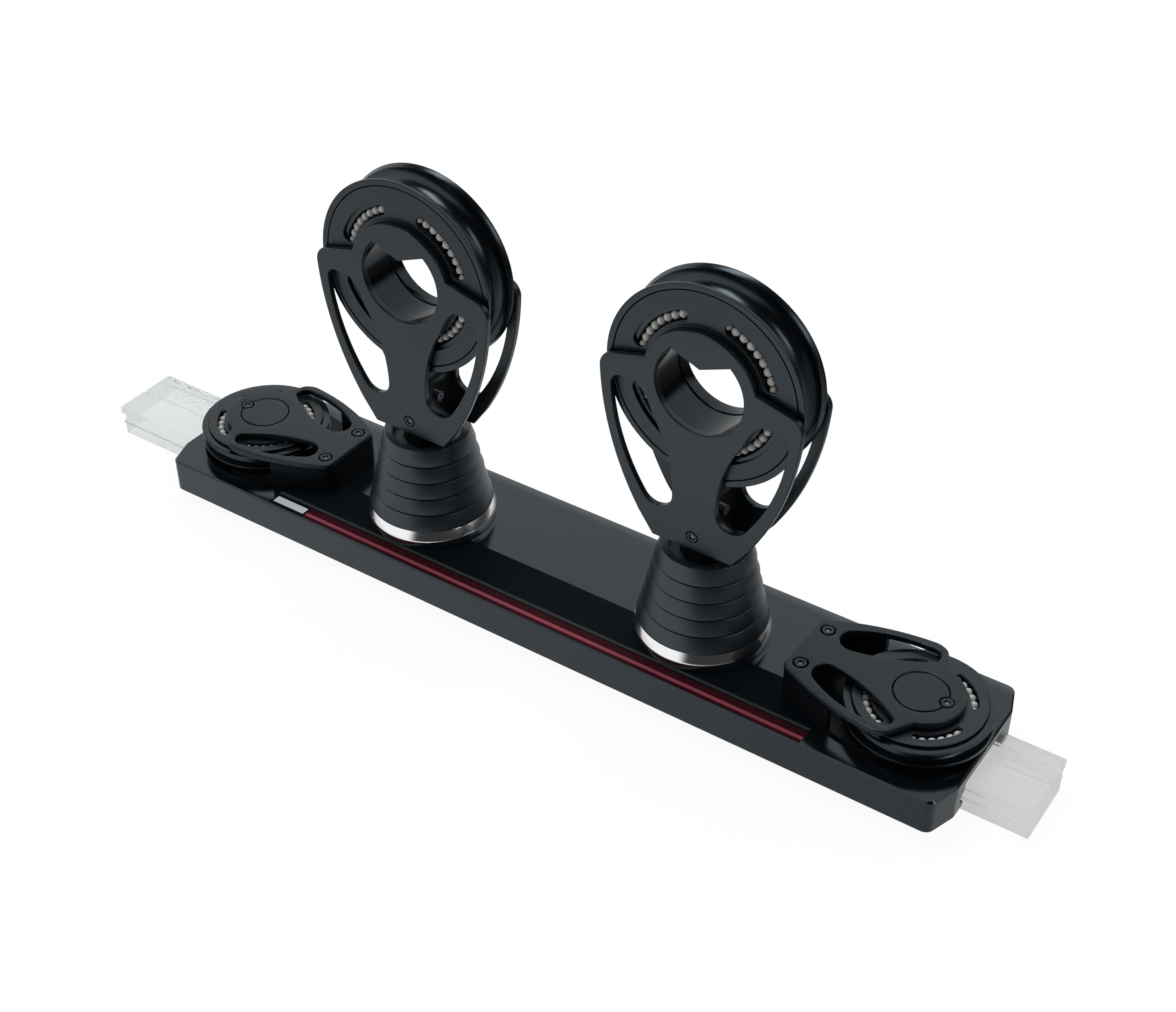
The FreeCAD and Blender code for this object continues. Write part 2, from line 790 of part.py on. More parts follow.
# The toggle hangs on the lower pin and carries the upper pin, square to it.
def make_toggle(side, block_x):
    body = new_body(f"{side}_toggle")
    half = size.toggle_width / 2
    shoulder = size.lower_pin_rise + size.toggle_shoulder
    fork = sketch_on(body, "XZ_Plane")
    loop(fork, [
        (-half, shoulder), (half, shoulder),
        (half, size.upper_pin_rise, HALF_LEFT), (-half, size.upper_pin_rise),
    ])
    pad(body, fork, size.toggle_depth, both_ways=True)
    tongue = sketch_on(body, "YZ_Plane")
    reach = size.toggle_tongue_radius
    loop(tongue, [
        (-reach, size.lower_pin_rise, HALF_LEFT), (reach, size.lower_pin_rise),
        (reach, shoulder + over), (-reach, shoulder + over),
    ])
    pad(body, tongue, size.toggle_width, both_ways=True)
    gap = sketch_on(body, "XZ_Plane")
    floor = size.upper_pin_rise - size.lug_radius - size.fork_floor_gap
    box_loop(gap, -half - over, half + over, floor, size.upper_pin_rise + half + over)
    pocket(body, gap, size.eye_thickness + size.toggle_side_gap * 2, both_ways=True)
    hole = size.pin_radius + size.pin_clearance
    lower = sketch_on(body, "YZ_Plane")
    circle(lower, 0, size.lower_pin_rise, hole)
    pocket(body, lower, size.toggle_width + over, both_ways=True)
    upper = sketch_on(body, "XZ_Plane")
    circle(upper, 0, size.upper_pin_rise, hole)
    pocket(body, upper, size.toggle_depth + over, both_ways=True)
    place(body, x=block_x, z=car_top)
    rod(f"{side}_upper_pin", size.pin_radius, size.toggle_depth,
        block_x, size.toggle_depth / 2, car_top + size.upper_pin_rise, (1, 0, 0), 90)


# The head post is one forging: an eye on the upper pin, a round neck and a flat between the cheeks.
def make_head_post(side, block_x):
    neck_top = size.hub_rise - size.cheek_drop - size.neck_top_gap
    body = turned(f"{side}_head_post", "XZ_Plane", [
        (0, size.neck_bottom_rise), (size.neck_radius, size.neck_bottom_rise),
        (size.neck_radius, neck_top), (0, neck_top),
    ])
    eye = sketch_on(body, "XZ_Plane")
    ring = size.lug_radius
    loop(eye, [
        (-ring, size.upper_pin_rise, HALF_LEFT), (ring, size.upper_pin_rise),
        (ring, size.neck_bottom_rise + over), (-ring, size.neck_bottom_rise + over),
    ])
    pad(body, eye, size.eye_thickness, both_ways=True)
    flat = sketch_on(body, "XZ_Plane")
    half = size.post_width / 2
    top = neck_top + size.post_height
    loop(flat, [
        (-half, neck_top - over), (half, neck_top - over),
        (half, top - half, HALF_LEFT), (-half, top - half),
    ])
    thick = (size.cheek_outer_face - size.cheek_thickness) * 2
    pad(body, flat, thick, both_ways=True)
    bore = sketch_on(body, "XZ_Plane")
    circle(bore, 0, size.upper_pin_rise, size.pin_radius + size.pin_clearance)
    pocket(body, bore, size.eye_thickness + over, both_ways=True)
    tapped = sketch_on(body, "XZ_Plane")
    screw_hole = size.cheek_screw_radius + size.screw_hole_clearance
    circle(tapped, 0, size.hub_rise - size.cheek_screw_drop, screw_hole)
    pocket(body, tapped, thick + over, both_ways=True)
    side_hole = sketch_on(body, "YZ_Plane")
    screw_z = size.hub_rise - size.cheek_drop + size.head_screw_height
    circle(side_hole, 0, screw_z, size.head_screw_shank_radius + size.screw_hole_clearance)
    bind(side_hole, "AttachmentOffset.Base.z", half - size.head_screw_shank - size.hole_end_gap)
    pocket(body, side_hole, size.head_screw_shank + over, backwards=True)
    place(body, x=block_x, z=car_top)
    screw(f"{side}_head_screw", size.head_screw_radius, size.head_screw_head,
          size.head_screw_shank_radius, size.head_screw_shank,
          block_x + half + size.head_screw_head, 0, car_top + screw_z, (0, 1, 0), 90)


# The boot is a moulded rubber cone with ribs that flare downwards and a web round the neck.
def make_boot(side, block_x):
    foot = size.base_height
    pitch = (size.boot_top_rise - foot - size.boot_foot_height) / BOOT_RIBS
    fall = (size.boot_foot_radius - size.boot_top_radius) / BOOT_RIBS
    outer = [
        (size.boot_foot_radius, foot),
        (size.boot_foot_radius, foot + size.boot_foot_height),
    ]
    for rib in range(BOOT_RIBS):
        low = foot + size.boot_foot_height + pitch * rib
        radius = size.boot_foot_radius - fall * (rib + 0.2)
        bottom = radius - size.boot_groove_depth
        crest = radius - size.boot_rib_flare
        outer.append((bottom, low))
        outer.append((radius, low + size.boot_groove_height))
        outer.append((crest, low + pitch - size.boot_groove_height / 2))
    outer.append((size.boot_top_radius, size.boot_top_rise))
    wall = size.boot_groove_depth + size.boot_wall
    lip = size.boot_top_radius - wall
    web_top = size.boot_top_rise - size.boot_web_drop
    web_bottom = web_top - size.boot_web_thickness
    hole = size.neck_radius + size.boot_web_clearance
    inner = [
        (lip, size.boot_top_rise),
        (lip, web_top),
        (hole, web_top),
        (hole, web_bottom),
        (lip, web_bottom),
        (size.boot_foot_radius - wall, foot + size.boot_foot_height),
        (size.boot_foot_radius - wall, foot),
    ]
    body = turned(f"{side}_boot", "XZ_Plane", outer + inner)
    place(body, x=block_x, z=car_top)


def cheek_window(side):
    """One teardrop window of a cheek plate, seen from the hub's centre."""
    return [
        (side * size.window_top_out_x, -size.window_top_drop, -side * size.window_out_corner),
        (side * size.window_out_x, -size.window_out_drop, -side * size.window_out_radius),
        (side * size.window_foot_out_x, -size.window_foot_out_drop, -side * size.window_foot_radius),
        (side * size.window_foot_in_x, -size.window_foot_in_drop, -side * size.window_in_radius),
        (side * size.window_in_x, -size.window_in_drop, -side * size.window_in_corner),
        (side * size.window_top_in_x, -size.window_top_drop),
    ]


# A cheek plate has a round head about the hub, square shoulders and a tapering foot.
def make_cheek(label, block_x, facing):
    body = new_body(label)
    shoulder_height = size.cheek_shoulder_in_height
    head = size.cheek_head_radius
    shoulder_x = (head * head - shoulder_height * shoulder_height).root()
    outline = sketch_on(body, "XZ_Plane")
    right = [
        (shoulder_x, shoulder_height),
        (size.cheek_shoulder_out_x, size.cheek_shoulder_out_height, -size.cheek_tip_radius),
        (size.cheek_tip_x, -size.cheek_tip_drop, -size.cheek_side_radius),
        (size.cheek_waist_x, -size.cheek_waist_drop),
        (size.cheek_foot_x, -size.cheek_drop),
    ]
    left = [
        (-size.cheek_foot_x, -size.cheek_drop),
        (-size.cheek_waist_x, -size.cheek_waist_drop, -size.cheek_side_radius),
        (-size.cheek_tip_x, -size.cheek_tip_drop, -size.cheek_tip_radius),
        (-size.cheek_shoulder_out_x, size.cheek_shoulder_out_height),
        (-shoulder_x, shoulder_height, -head),
    ]
    loop(outline, right + left)
    pad(body, outline, size.cheek_thickness, backwards=True)

    windows = sketch_on(body, "XZ_Plane")
    for side in (-1, 1):
        loop(windows, cheek_window(side))
    pocket(body, windows, size.cheek_thickness + over)
    bore = sketch_on(body, "XZ_Plane")
    circle(bore, 0, 0, size.hub_bore_radius + size.hub_tube_wall + size.hub_seat_clearance)
    circle(bore, 0, -size.cheek_screw_drop, size.cheek_screw_radius + size.screw_hole_clearance)
    pocket(body, bore, size.cheek_thickness + over)
    seats = sketch_on(body, "XZ_Plane")
    circle(seats, 0, 0, size.hub_flange_radius + size.hub_seat_clearance)
    pocket(body, seats, size.hub_flange_thickness)
    sinks = sketch_on(body, "XZ_Plane")
    head_hole = size.cheek_screw_head_radius + size.screw_hole_clearance
    circle(sinks, 0, -size.cheek_screw_drop, head_hole)
    pocket(body, sinks, size.cheek_screw_head_height)
    place(body, block_x, facing * size.cheek_outer_face, car_top + size.hub_rise,
          turn=0.0 if facing < 0 else 180.0)


def make_cheek_screws(side, block_x):
    screws = []
    for name, facing in (("near", -1), ("far", 1)):
        screws.append(screw(
            f"{side}_{name}_cheek_screw",
            size.cheek_screw_head_radius, size.cheek_screw_head_height,
            size.cheek_screw_radius, size.cheek_screw_length,
            block_x, facing * size.cheek_outer_face,
            car_top + size.hub_rise - size.cheek_screw_drop, (1, 0, 0), -facing * 90,
        ))
    gathered(f"{side}_cheek_screws", screws)


# The hub is a hollow axle, open right through but for a pointed tab that gives its hole the shape
# of a heart, with a screwed collar on the far side.
def make_hub(side, block_x):
    bore = size.hub_bore_radius
    tube = bore + size.hub_tube_wall
    face = size.cheek_outer_face
    step = face - size.hub_flange_thickness
    joint = face - size.hub_nut_length
    hub_z = car_top + size.hub_rise
    axle = turned(f"{side}_hub_tube", "XY_Plane", [
        (bore, -face), (size.hub_flange_radius, -face), (size.hub_flange_radius, -step),
        (tube, -step), (tube, joint), (bore, joint),
    ])
    tab = sketch_on(axle, "XZ_Plane")
    seat = bore + size.hub_tube_wall / 2
    across = size.hub_tab_half_width
    up = (seat * seat - across * across).root()
    loop(tab, [(-across, up), (0, size.hub_tab_tip_height), (across, up, seat)])
    bind(tab, "AttachmentOffset.Base.z", -joint)
    pad(axle, tab, face + joint)
    place(axle, block_x, 0, hub_z)
    nut = turned(f"{side}_hub_nut", "XY_Plane", [
        (bore, joint), (tube, joint), (tube, step),
        (size.hub_flange_radius, step), (size.hub_flange_radius, face), (bore, face),
    ])
    place(nut, block_x, 0, hub_z)
    half = size.sheave_face_half - size.bush_end_gap
    bush = turned(f"{side}_bush", "XY_Plane", [
        (tube + size.bush_clearance, -half), (size.bush_outer_radius, -half),
        (size.bush_outer_radius, half), (tube + size.bush_clearance, half),
    ])
    place(bush, block_x, 0, hub_z)


# The sheave has a round rope groove, a ball race in each side and a lip round the retainer.
def make_sheave(side, block_x):
    bore = size.bush_outer_radius + size.bush_clearance
    race_in = size.side_ball_circle_radius - size.side_race_half_width
    race_out = size.side_ball_circle_radius + size.side_race_half_width
    groove = size.sheave_groove_radius
    upper = [
        (bore, size.sheave_face_half),
        (race_in, size.sheave_face_half),
        (race_in, size.side_race_floor),
        (race_out, size.side_race_floor),
        (race_out, size.sheave_face_half),
        (size.sheave_recess_radius, size.sheave_face_half),
        (size.sheave_recess_radius, size.sheave_half_width),
        (size.sheave_radius, size.sheave_half_width),
        (size.sheave_radius, size.sheave_lip_half),
        (size.sheave_groove_centre, groove, HALF_LEFT),
    ]
    lower = [(point[0], -point[1]) for point in reversed(upper)]
    sheave = turned(f"{side}_sheave", "XY_Plane", upper + lower)
    place(sheave, block_x, 0, car_top + size.hub_rise)


# A ball retainer is a thin disc fixed to the cheek, with four curved slots over the balls.
def make_side_bearing(side, name, facing, block_x):
    tube = size.hub_bore_radius + size.hub_tube_wall + size.bush_clearance
    seat = size.cheek_outer_face - size.cheek_thickness
    back = size.retainer_face - size.retainer_thickness
    body = turned(f"{side}_{name}_retainer", "XY_Plane", [
        (tube, facing * back),
        (size.retainer_radius, facing * back),
        (size.retainer_radius, facing * size.retainer_face),
        (size.retainer_collar_radius, facing * size.retainer_face),
        (size.retainer_collar_radius, facing * seat),
        (tube, facing * seat),
    ])
    slot_ring(body, "XZ_Plane", size.retainer_slot_circle_radius, size.retainer_slot_width,
              SLOT_HALF_ANGLE, seat * 2 + 1)
    place(body, block_x, 0, car_top + size.hub_rise)
    middle = (size.side_race_floor + back) / 2
    return ball_ring(f"{side}_{name}_balls", SIDE_BALLS, size.side_ball_circle_radius,
                     facing * middle, size.side_ball_diameter / 2, along_y=True)


def control_outline():
    """Plan of a control block from its hub axis, with the inner end towards -X."""
    right_side = [
        (-size.control_inner_reach, size.control_inner_half, -size.control_corner_radius),
        (-size.control_corner_reach, size.control_corner_half, -size.control_side_radius),
        (-size.control_side_reach, size.control_side_half, -size.control_shoulder_radius),
        (-size.control_shoulder_reach, size.control_shoulder_half),
        (size.control_ring_x, control_ring_y, -size.control_ring_radius),
    ]
    left_side = [
        (size.control_ring_x, -control_ring_y),
        (-size.control_shoulder_reach, -size.control_shoulder_half, -size.control_shoulder_radius),
        (-size.control_side_reach, -size.control_side_half, -size.control_side_radius),
        (-size.control_corner_reach, -size.control_corner_half, -size.control_corner_radius),
        (-size.control_inner_reach, -size.control_inner_half),
    ]
    return right_side + left_side


def control_window(side):
    """One window of a control plate."""
    return [
        (-size.control_window_end_reach, side * size.control_window_end_half,
         -side * size.control_window_out_radius),
        (-size.control_window_out_reach, side * size.control_window_out_half,
         -side * size.control_window_corner),
        (-size.control_window_near_reach, side * size.control_window_near_half,
         -side * size.control_window_in_radius),
        (-size.control_window_in_reach, side * size.control_window_in_half,
         -side * size.control_window_end_radius),
    ]


control_ring_y = (
    size.control_ring_radius * size.control_ring_radius - size.control_ring_x * size.control_ring_x
).root()
plate_bottom = size.control_plate_top_rise - size.control_plate_thickness


def control_screw_points():
    """Where the three screws of a control block stand, from its hub axis."""
    reach = -size.control_screw_reach
    return [(reach, size.control_screw_half), (reach, -size.control_screw_half)]


# The base plate lies on the car and carries the post.
def make_control_base(label):
    body = new_body(label)
    outline = sketch_on(body, "XY_Plane")
    loop(outline, control_outline())
    pad(body, outline, size.control_base_thickness)
    holes = sketch_on(body, "XY_Plane")
    for across, along in control_screw_points():
        circle(holes, across, along, size.control_screw_radius + size.screw_hole_clearance)
    pocket(body, holes, size.control_base_thickness + over, backwards=True)
    return body


# The spacer is a curved wall under the inner end of the plate, with a block for the screws.
def make_control_spacer(label):
    body = new_body(label)
    reach = -size.control_spacer_reach
    wall = size.control_spacer_wall
    outline = sketch_on(body, "XY_Plane")
    loop(outline, control_outline())
    pad(body, outline, plate_bottom - size.control_base_thickness)
    hollow = sketch_on(body, "XY_Plane")
    start = size.control_spacer_block - size.control_inner_reach
    inner_radius = size.control_side_radius - wall
    beyond = size.control_side_half + wall * 2
    loop(hollow, [
        (start, size.control_corner_half - size.control_spacer_step, -inner_radius),
        (reach, size.control_side_half - wall * 2),
        (reach, beyond),
        (size.control_ring_radius + wall, beyond),
        (size.control_ring_radius + wall, -beyond),
        (reach, -beyond),
        (reach, -(size.control_side_half - wall * 2), -inner_radius),
        (start, size.control_spacer_step - size.control_corner_half),
    ])
    pocket(body, hollow, plate_bottom, backwards=True)
    holes = sketch_on(body, "XY_Plane")
    for across, along in control_screw_points():
        circle(holes, across, along, size.control_screw_radius + size.screw_hole_clearance)
    pocket(body, holes, plate_bottom, backwards=True)
    return body


# The top plate has two windows over the balls, a round hole for the cap and three screws.
def make_control_plate(label):
    body = new_body(label)
    outline = sketch_on(body, "XY_Plane")
    loop(outline, control_outline())
    pad(body, outline, size.control_plate_thickness)

    windows = sketch_on(body, "XY_Plane")
    for side in (-1, 1):
        loop(windows, control_window(side))
    pocket(body, windows, size.control_plate_thickness + over, backwards=True)
    holes = sketch_on(body, "XY_Plane")
    circle(holes, 0, 0, size.control_cap_radius + size.control_cap_clearance)
    for across, along in control_screw_points():
        circle(holes, across, along, size.control_screw_radius + size.screw_hole_clearance)
    pocket(body, holes, size.control_plate_thickness + over, backwards=True)
    hub_hole = sketch_on(body, "XY_Plane")
    circle(hub_hole, size.control_hub_screw_x, 0, size.control_screw_radius + size.screw_hole_clearance)
    pocket(body, hub_hole, size.control_plate_thickness + over, backwards=True)
    sinks = sketch_on(body, "XY_Plane")
    head_hole = size.control_screw_head_radius + size.screw_hole_clearance
    for across, along in control_screw_points() + [(size.control_hub_screw_x, 0)]:
        circle(sinks, across, along, head_hole)
    bind(sinks, "AttachmentOffset.Base.z", size.control_plate_thickness - size.control_screw_head_height)
    pocket(body, sinks, size.control_screw_head_height + over, backwards=True)
    return body


# The post carries the bush and takes the hub screw beside the cap.
def make_control_post(label):
    body = turned(label, "XZ_Plane", [
        (0, size.control_base_thickness), (size.control_post_radius, size.control_base_thickness),
        (size.control_post_radius, plate_bottom), (0, plate_bottom),
    ])
    hole = sketch_on(body, "XY_Plane")
    shank = size.control_screw_radius + size.screw_hole_clearance
    circle(hole, size.control_hub_screw_x, 0, shank)
    depth = size.control_hub_screw_length + size.control_screw_head_height
    bind(hole, "AttachmentOffset.Base.z", size.control_plate_top_rise - depth - size.hole_end_gap)
    pocket(body, hole, depth, backwards=True)
    return body


# The flat sheave has a rope groove and one ball race, on top, under the retainer.
def make_control_sheave(label):
    bore = size.control_bush_radius + size.bush_clearance
    race_in = size.control_ball_circle_radius - size.control_race_half_width
    race_out = size.control_ball_circle_radius + size.control_race_half_width
    middle = (size.control_sheave_bottom + size.control_sheave_top) / 2
    groove = size.control_groove_radius
    return turned(label, "XZ_Plane", [
        (bore, size.control_sheave_bottom),
        (size.control_sheave_radius, size.control_sheave_bottom),
        (size.control_sheave_radius, middle - size.control_lip_half),
        (size.control_groove_centre, middle - groove, HALF_RIGHT),
        (size.control_groove_centre, middle + groove),
        (size.control_sheave_radius, middle + size.control_lip_half),
        (size.control_sheave_radius, size.control_sheave_top),
        (size.control_sheave_recess_radius, size.control_sheave_top),
        (size.control_sheave_recess_radius, size.control_sheave_face),
        (race_out, size.control_sheave_face),
        (race_out, size.control_race_floor),
        (race_in, size.control_race_floor),
        (race_in, size.control_sheave_face),
        (bore, size.control_sheave_face),
    ])


def make_control_retainer(label):
    collar_in = size.control_post_radius + size.bush_clearance
    body = turned(label, "XZ_Plane", [
        (collar_in, size.control_retainer_bottom),
        (size.control_retainer_radius, size.control_retainer_bottom),
        (size.control_retainer_radius, size.control_retainer_top),
        (size.control_collar_radius, size.control_retainer_top),
        (size.control_collar_radius, plate_bottom),
        (collar_in, plate_bottom),
    ])
    slot_ring(body, "XY_Plane", size.control_ball_circle_radius, size.control_slot_width,
              SLOT_HALF_ANGLE, plate_bottom * 2 + 1)
    return body


# The cap fills the plate's round hole and is notched for the hub screw's head.
def make_control_cap(label):
    body = turned(label, "XZ_Plane", [
        (0, plate_bottom), (size.control_cap_radius, plate_bottom),
        (size.control_cap_radius, size.control_plate_top_rise), (0, size.control_plate_top_rise),
    ])
    notch = sketch_on(body, "XY_Plane")
    head_hole = size.control_screw_head_radius + size.screw_hole_clearance
    circle(notch, size.control_hub_screw_x, 0, head_hole)
    bind(notch, "AttachmentOffset.Base.z", plate_bottom - over)
    pocket(body, notch, size.control_plate_thickness + over * 2, backwards=True)
    return body


# A control block lies flat on the car with its line leaving towards the car's end.
def make_control_block(side, end):
    hub_x = end * control_hub_x
    turn = 0.0 if end > 0 else 180.0
    block = f"{side}_control"

    def seat(thing, lift=0):
        place(thing, hub_x, 0, car_top + lift, turn=turn)

    seat(make_control_base(f"{block}_base"))
    seat(make_control_spacer(f"{block}_spacer"), size.control_base_thickness)
    seat(make_control_plate(f"{block}_plate"), plate_bottom)
    seat(make_control_post(f"{block}_post"))
    seat(make_control_sheave(f"{block}_sheave"))
    seat(make_control_retainer(f"{block}_retainer"))
    seat(make_control_cap(f"{block}_cap"))
    bush = turned(f"{block}_bush", "XZ_Plane", [
        (size.control_post_radius + size.bush_clearance, size.control_base_thickness),
        (size.control_bush_radius, size.control_base_thickness),
        (size.control_bush_radius, size.control_sheave_face - size.bush_end_gap),
        (size.control_post_radius + size.bush_clearance, size.control_sheave_face - size.bush_end_gap),
    ])
    seat(bush)
    ring = ball_ring(f"{block}_ring", CONTROL_BALLS, size.control_ball_circle_radius,
                     size.control_ball_height, size.control_ball_diameter / 2, along_y=False)
    seat(ring)
    control_rings.append(ring)
    top = car_top + size.control_plate_top_rise
    long_shank = size.control_plate_top_rise - size.control_screw_head_height + size.car_screw_depth
    for index, (across, along) in enumerate(control_screw_points(), start=1):
        control_screws.append(screw(
            f"{block}_inner_screw_{index}",
            size.control_screw_head_radius, size.control_screw_head_height,
            size.control_screw_radius, long_shank,
            hub_x + across * end, along, top,
        ))
    control_screws.append(screw(
        f"{block}_hub_screw",
        size.control_screw_head_radius, size.control_screw_head_height,
        size.control_screw_radius, size.control_hub_screw_length,
        hub_x + size.control_hub_screw_x * end, 0, top,
    ))


def make_main_block(side, end):
    block_x = end * main_block_x
    make_swivel_base(side, block_x)
    make_swivel_stud(side, block_x)
    make_toggle(side, block_x)
    make_boot(side, block_x)
    make_head_post(side, block_x)
    rings = []
    for name, facing in (("near", -1), ("far", 1)):
        make_cheek(f"{side}_{name}_cheek", block_x, facing)
        rings.append(make_side_bearing(side, name, facing, block_x))
    side_balls = gathered(f"{side}_side_balls", rings)
    place(side_balls, block_x, 0, car_top + size.hub_rise)
    make_cheek_screws(side, block_x)
    make_hub(side, block_x)
    make_sheave(side, block_x)


make_car_body()
make_loader()
make_load_balls()
make_ball_guides()
for side_name, car_end in (("left", -1), ("right", 1)):
    make_main_block(side_name, car_end)
    make_control_block(side_name, car_end)
gathered("base_screws", base_screws)
gathered("control_screws", control_screws)
gathered("control_balls", control_rings)
doc.recompute()

for thing in doc.Objects:
    if "Invalid" in thing.State or "Error" in thing.State:
        raise RuntimeError(f"{thing.Label} failed: {thing.State}")

CAR_PIECES = [
    "car_body", "track_loader", "load_balls", "ball_guides",
    "base_screws", "control_screws", "control_balls",
]
MAIN_PIECES = [
    "swivel_base", "swivel_stud", "lower_pin", "toggle", "upper_pin", "boot",
    "head_post", "head_screw", "near_cheek", "far_cheek", "cheek_screws", "hub_tube", "hub_nut",
    "bush", "sheave", "near_retainer", "far_retainer", "side_balls",
]
CONTROL_PIECES = ["base", "spacer", "post", "bush", "sheave", "retainer", "plate", "cap"]
labels = list(CAR_PIECES)
for side_name in ("left", "right"):
    labels += [f"{side_name}_{piece}" for piece in MAIN_PIECES]
    labels += [f"{side_name}_control_{piece}" for piece in CONTROL_PIECES]
for label in labels:
    shape = doc.getObjectsByLabel(label)[0].Shape
    if shape.isNull() or not shape.isValid():
        raise RuntimeError(f"{label} has no sound shape")
for label in labels:
    doc.getObjectsByLabel(label)[0].Shape.exportStep(f"parts/{label}.step")
print(len(labels), "parts written")
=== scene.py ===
import math

import bmesh
import bpy
import numpy as np
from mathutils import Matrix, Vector, geometry


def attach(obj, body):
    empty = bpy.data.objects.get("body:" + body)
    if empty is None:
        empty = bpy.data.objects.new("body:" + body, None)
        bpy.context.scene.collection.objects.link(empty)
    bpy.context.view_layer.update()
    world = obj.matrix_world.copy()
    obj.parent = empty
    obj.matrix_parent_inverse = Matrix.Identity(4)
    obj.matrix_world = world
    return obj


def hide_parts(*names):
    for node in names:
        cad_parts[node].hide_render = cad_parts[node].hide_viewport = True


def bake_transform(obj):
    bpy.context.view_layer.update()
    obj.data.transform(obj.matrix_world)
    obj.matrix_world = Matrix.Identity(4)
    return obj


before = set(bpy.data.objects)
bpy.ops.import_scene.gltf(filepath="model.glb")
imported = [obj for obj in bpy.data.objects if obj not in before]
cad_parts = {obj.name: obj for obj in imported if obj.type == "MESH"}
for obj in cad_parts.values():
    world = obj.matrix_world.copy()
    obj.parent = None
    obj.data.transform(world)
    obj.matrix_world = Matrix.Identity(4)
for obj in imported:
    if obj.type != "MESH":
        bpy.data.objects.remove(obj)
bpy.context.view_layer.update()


# The studio is a white table between pale walls, with a dim ceiling and black flags at the right,
# so the black car mirrors white from the left and dark from the right. Two soft boxes light it,
# and the camera looks down on it from the front.
class Signal:
    """One shader socket. Sums written with it become Math nodes in the same tree."""

    def __init__(self, tree, socket):
        self.tree, self.socket = tree, socket

    def output(self, name):
        """Another output of the node that this signal comes from."""
        return Signal(self.tree, self.socket.node.outputs[name])

    def math(self, operation, *terms):
        """A Math node over the terms, which are signals or numbers."""
        return node(self.tree, "ShaderNodeMath", {"operation": operation}, dict(enumerate(terms)))

    def __add__(self, other):
        return self.math("ADD", self, other)

    __radd__ = __add__

    def __sub__(self, other):
        return self.math("SUBTRACT", self, other)

    def __rsub__(self, other):
        return self.math("SUBTRACT", other, self)

    def __mul__(self, other):
        return self.math("MULTIPLY", self, other)

    __rmul__ = __mul__

    def __truediv__(self, other):
        return self.math("DIVIDE", self, other)

    def __gt__(self, other):
        return self.math("GREATER_THAN", self, other)

    def __abs__(self):
        return self.math("ABSOLUTE", self)

    def or_more(self, other):
        """The larger of this signal and another."""
        return self.math("MAXIMUM", self, other)

    def or_less(self, other):
        """The smaller of this signal and another."""
        return self.math("MINIMUM", self, other)


def node(tree, kind, settings=None, sockets=None, out=0):
    """Adds a node, sets it, then feeds its sockets with numbers, colours or other signals."""
    made = tree.nodes.new(kind)
    for name, value in (settings or {}).items():
        setattr(made, name, value)
    for name, value in (sockets or {}).items():
        if isinstance(value, Signal):
            tree.links.new(value.socket, made.inputs[name])
        elif made.inputs[name].type == "RGBA":
            made.inputs[name].default_value = (*value, 1)
        else:
            made.inputs[name].default_value = value
    return Signal(tree, made.outputs[out])


def axes(vector):
    """A vector's parts along X, Y and Z."""
    first = node(vector.tree, "ShaderNodeSeparateXYZ", {}, {0: vector}, out="X")
    return first, first.output("Y"), first.output("Z")


def smooth_step(signal, low, high, before=0.0, after=1.0):
    """One value up to low, another from high on, and a smooth S-curve between them."""
    kind = {"interpolation_type": "SMOOTHSTEP"}
    span = {0: signal, 1: low, 2: high, 3: before, 4: after}
    return node(signal.tree, "ShaderNodeMapRange", kind, span)


WHITE = (1, 1, 1)
END_WALLS = 0.55
CEILING_LIGHT = 0.05
FLAG_DEPTH = 0.965
# Each pair is where a change begins and ends. The wall's top is a slope, height over distance,
# and the others are parts of a unit direction: to the right, to the back or upwards.
WALL_TOP = (1.294, 1.306)
BACK_HALF = (-0.10, 0.25)
FRONT_FLAG = (-0.10, 0.16)
LOW_FLAG = (0.20, 0.60)
LOW_FLAG_TOP = (0.15, 0.40)

world = bpy.data.worlds.new("studio")
bpy.context.scene.world = world
world.use_nodes = True
sky = world.node_tree
sky.nodes.clear()
to_right, to_back, upwards = axes(node(sky, "ShaderNodeTexCoord", out="Generated"))
distance = abs(to_right * END_WALLS).or_more(abs(to_back))
walls = smooth_step(upwards / distance, *WALL_TOP, 1.0, CEILING_LIGHT)
behind = smooth_step(to_back, *BACK_HALF)
front_flag = smooth_step(to_right, *FRONT_FLAG) * (1 - behind)
low_flag = smooth_step(to_right, *LOW_FLAG) * behind * (1 - smooth_step(upwards, *LOW_FLAG_TOP))
light = walls * (1 - front_flag.or_more(low_flag) * FLAG_DEPTH)
rays = node(sky, "ShaderNodeLightPath", out="Is Camera Ray")
seen = rays.or_more(rays.output("Is Transmission Ray"))
strength = seen + (1 - seen) * light
backdrop = node(sky, "ShaderNodeBackground", {}, {"Color": WHITE, "Strength": strength})
world_out = sky.nodes.new("ShaderNodeOutputWorld")
sky.links.new(backdrop.socket, world_out.inputs["Surface"])

LAMP_TARGET = (0, 0, 0.05)


def turn_to(place, target):
    """The turn that points a lamp or a camera along the line from its place to a target."""
    return (Vector(target) - Vector(place)).to_track_quat("-Z", "Y").to_euler()


def soft_box(name, place, width, height, watts):
    """A rectangular lamp at a place in metres, turned to face the car."""
    lamp = bpy.data.lights.new(name, "AREA")
    lamp.shape = "RECTANGLE"
    lamp.size, lamp.size_y, lamp.energy = width, height, watts
    stand = bpy.data.objects.new(name, lamp)
    stand.location = place
    stand.rotation_euler = turn_to(place, LAMP_TARGET)
    bpy.context.scene.collection.objects.link(stand)


soft_box("overhead_box", (-0.35, 0.25, 1.5), width=0.9, height=0.5, watts=9.0)
soft_box("side_box", (1.3, -0.1, 1.0), width=0.35, height=0.7, watts=3.0)

TABLE_REACH = 6.0
TABLE_WHITE = (0.93, 0.93, 0.93)
TABLE_GLOW = 1.04
GLOW_SHARE = 0.9
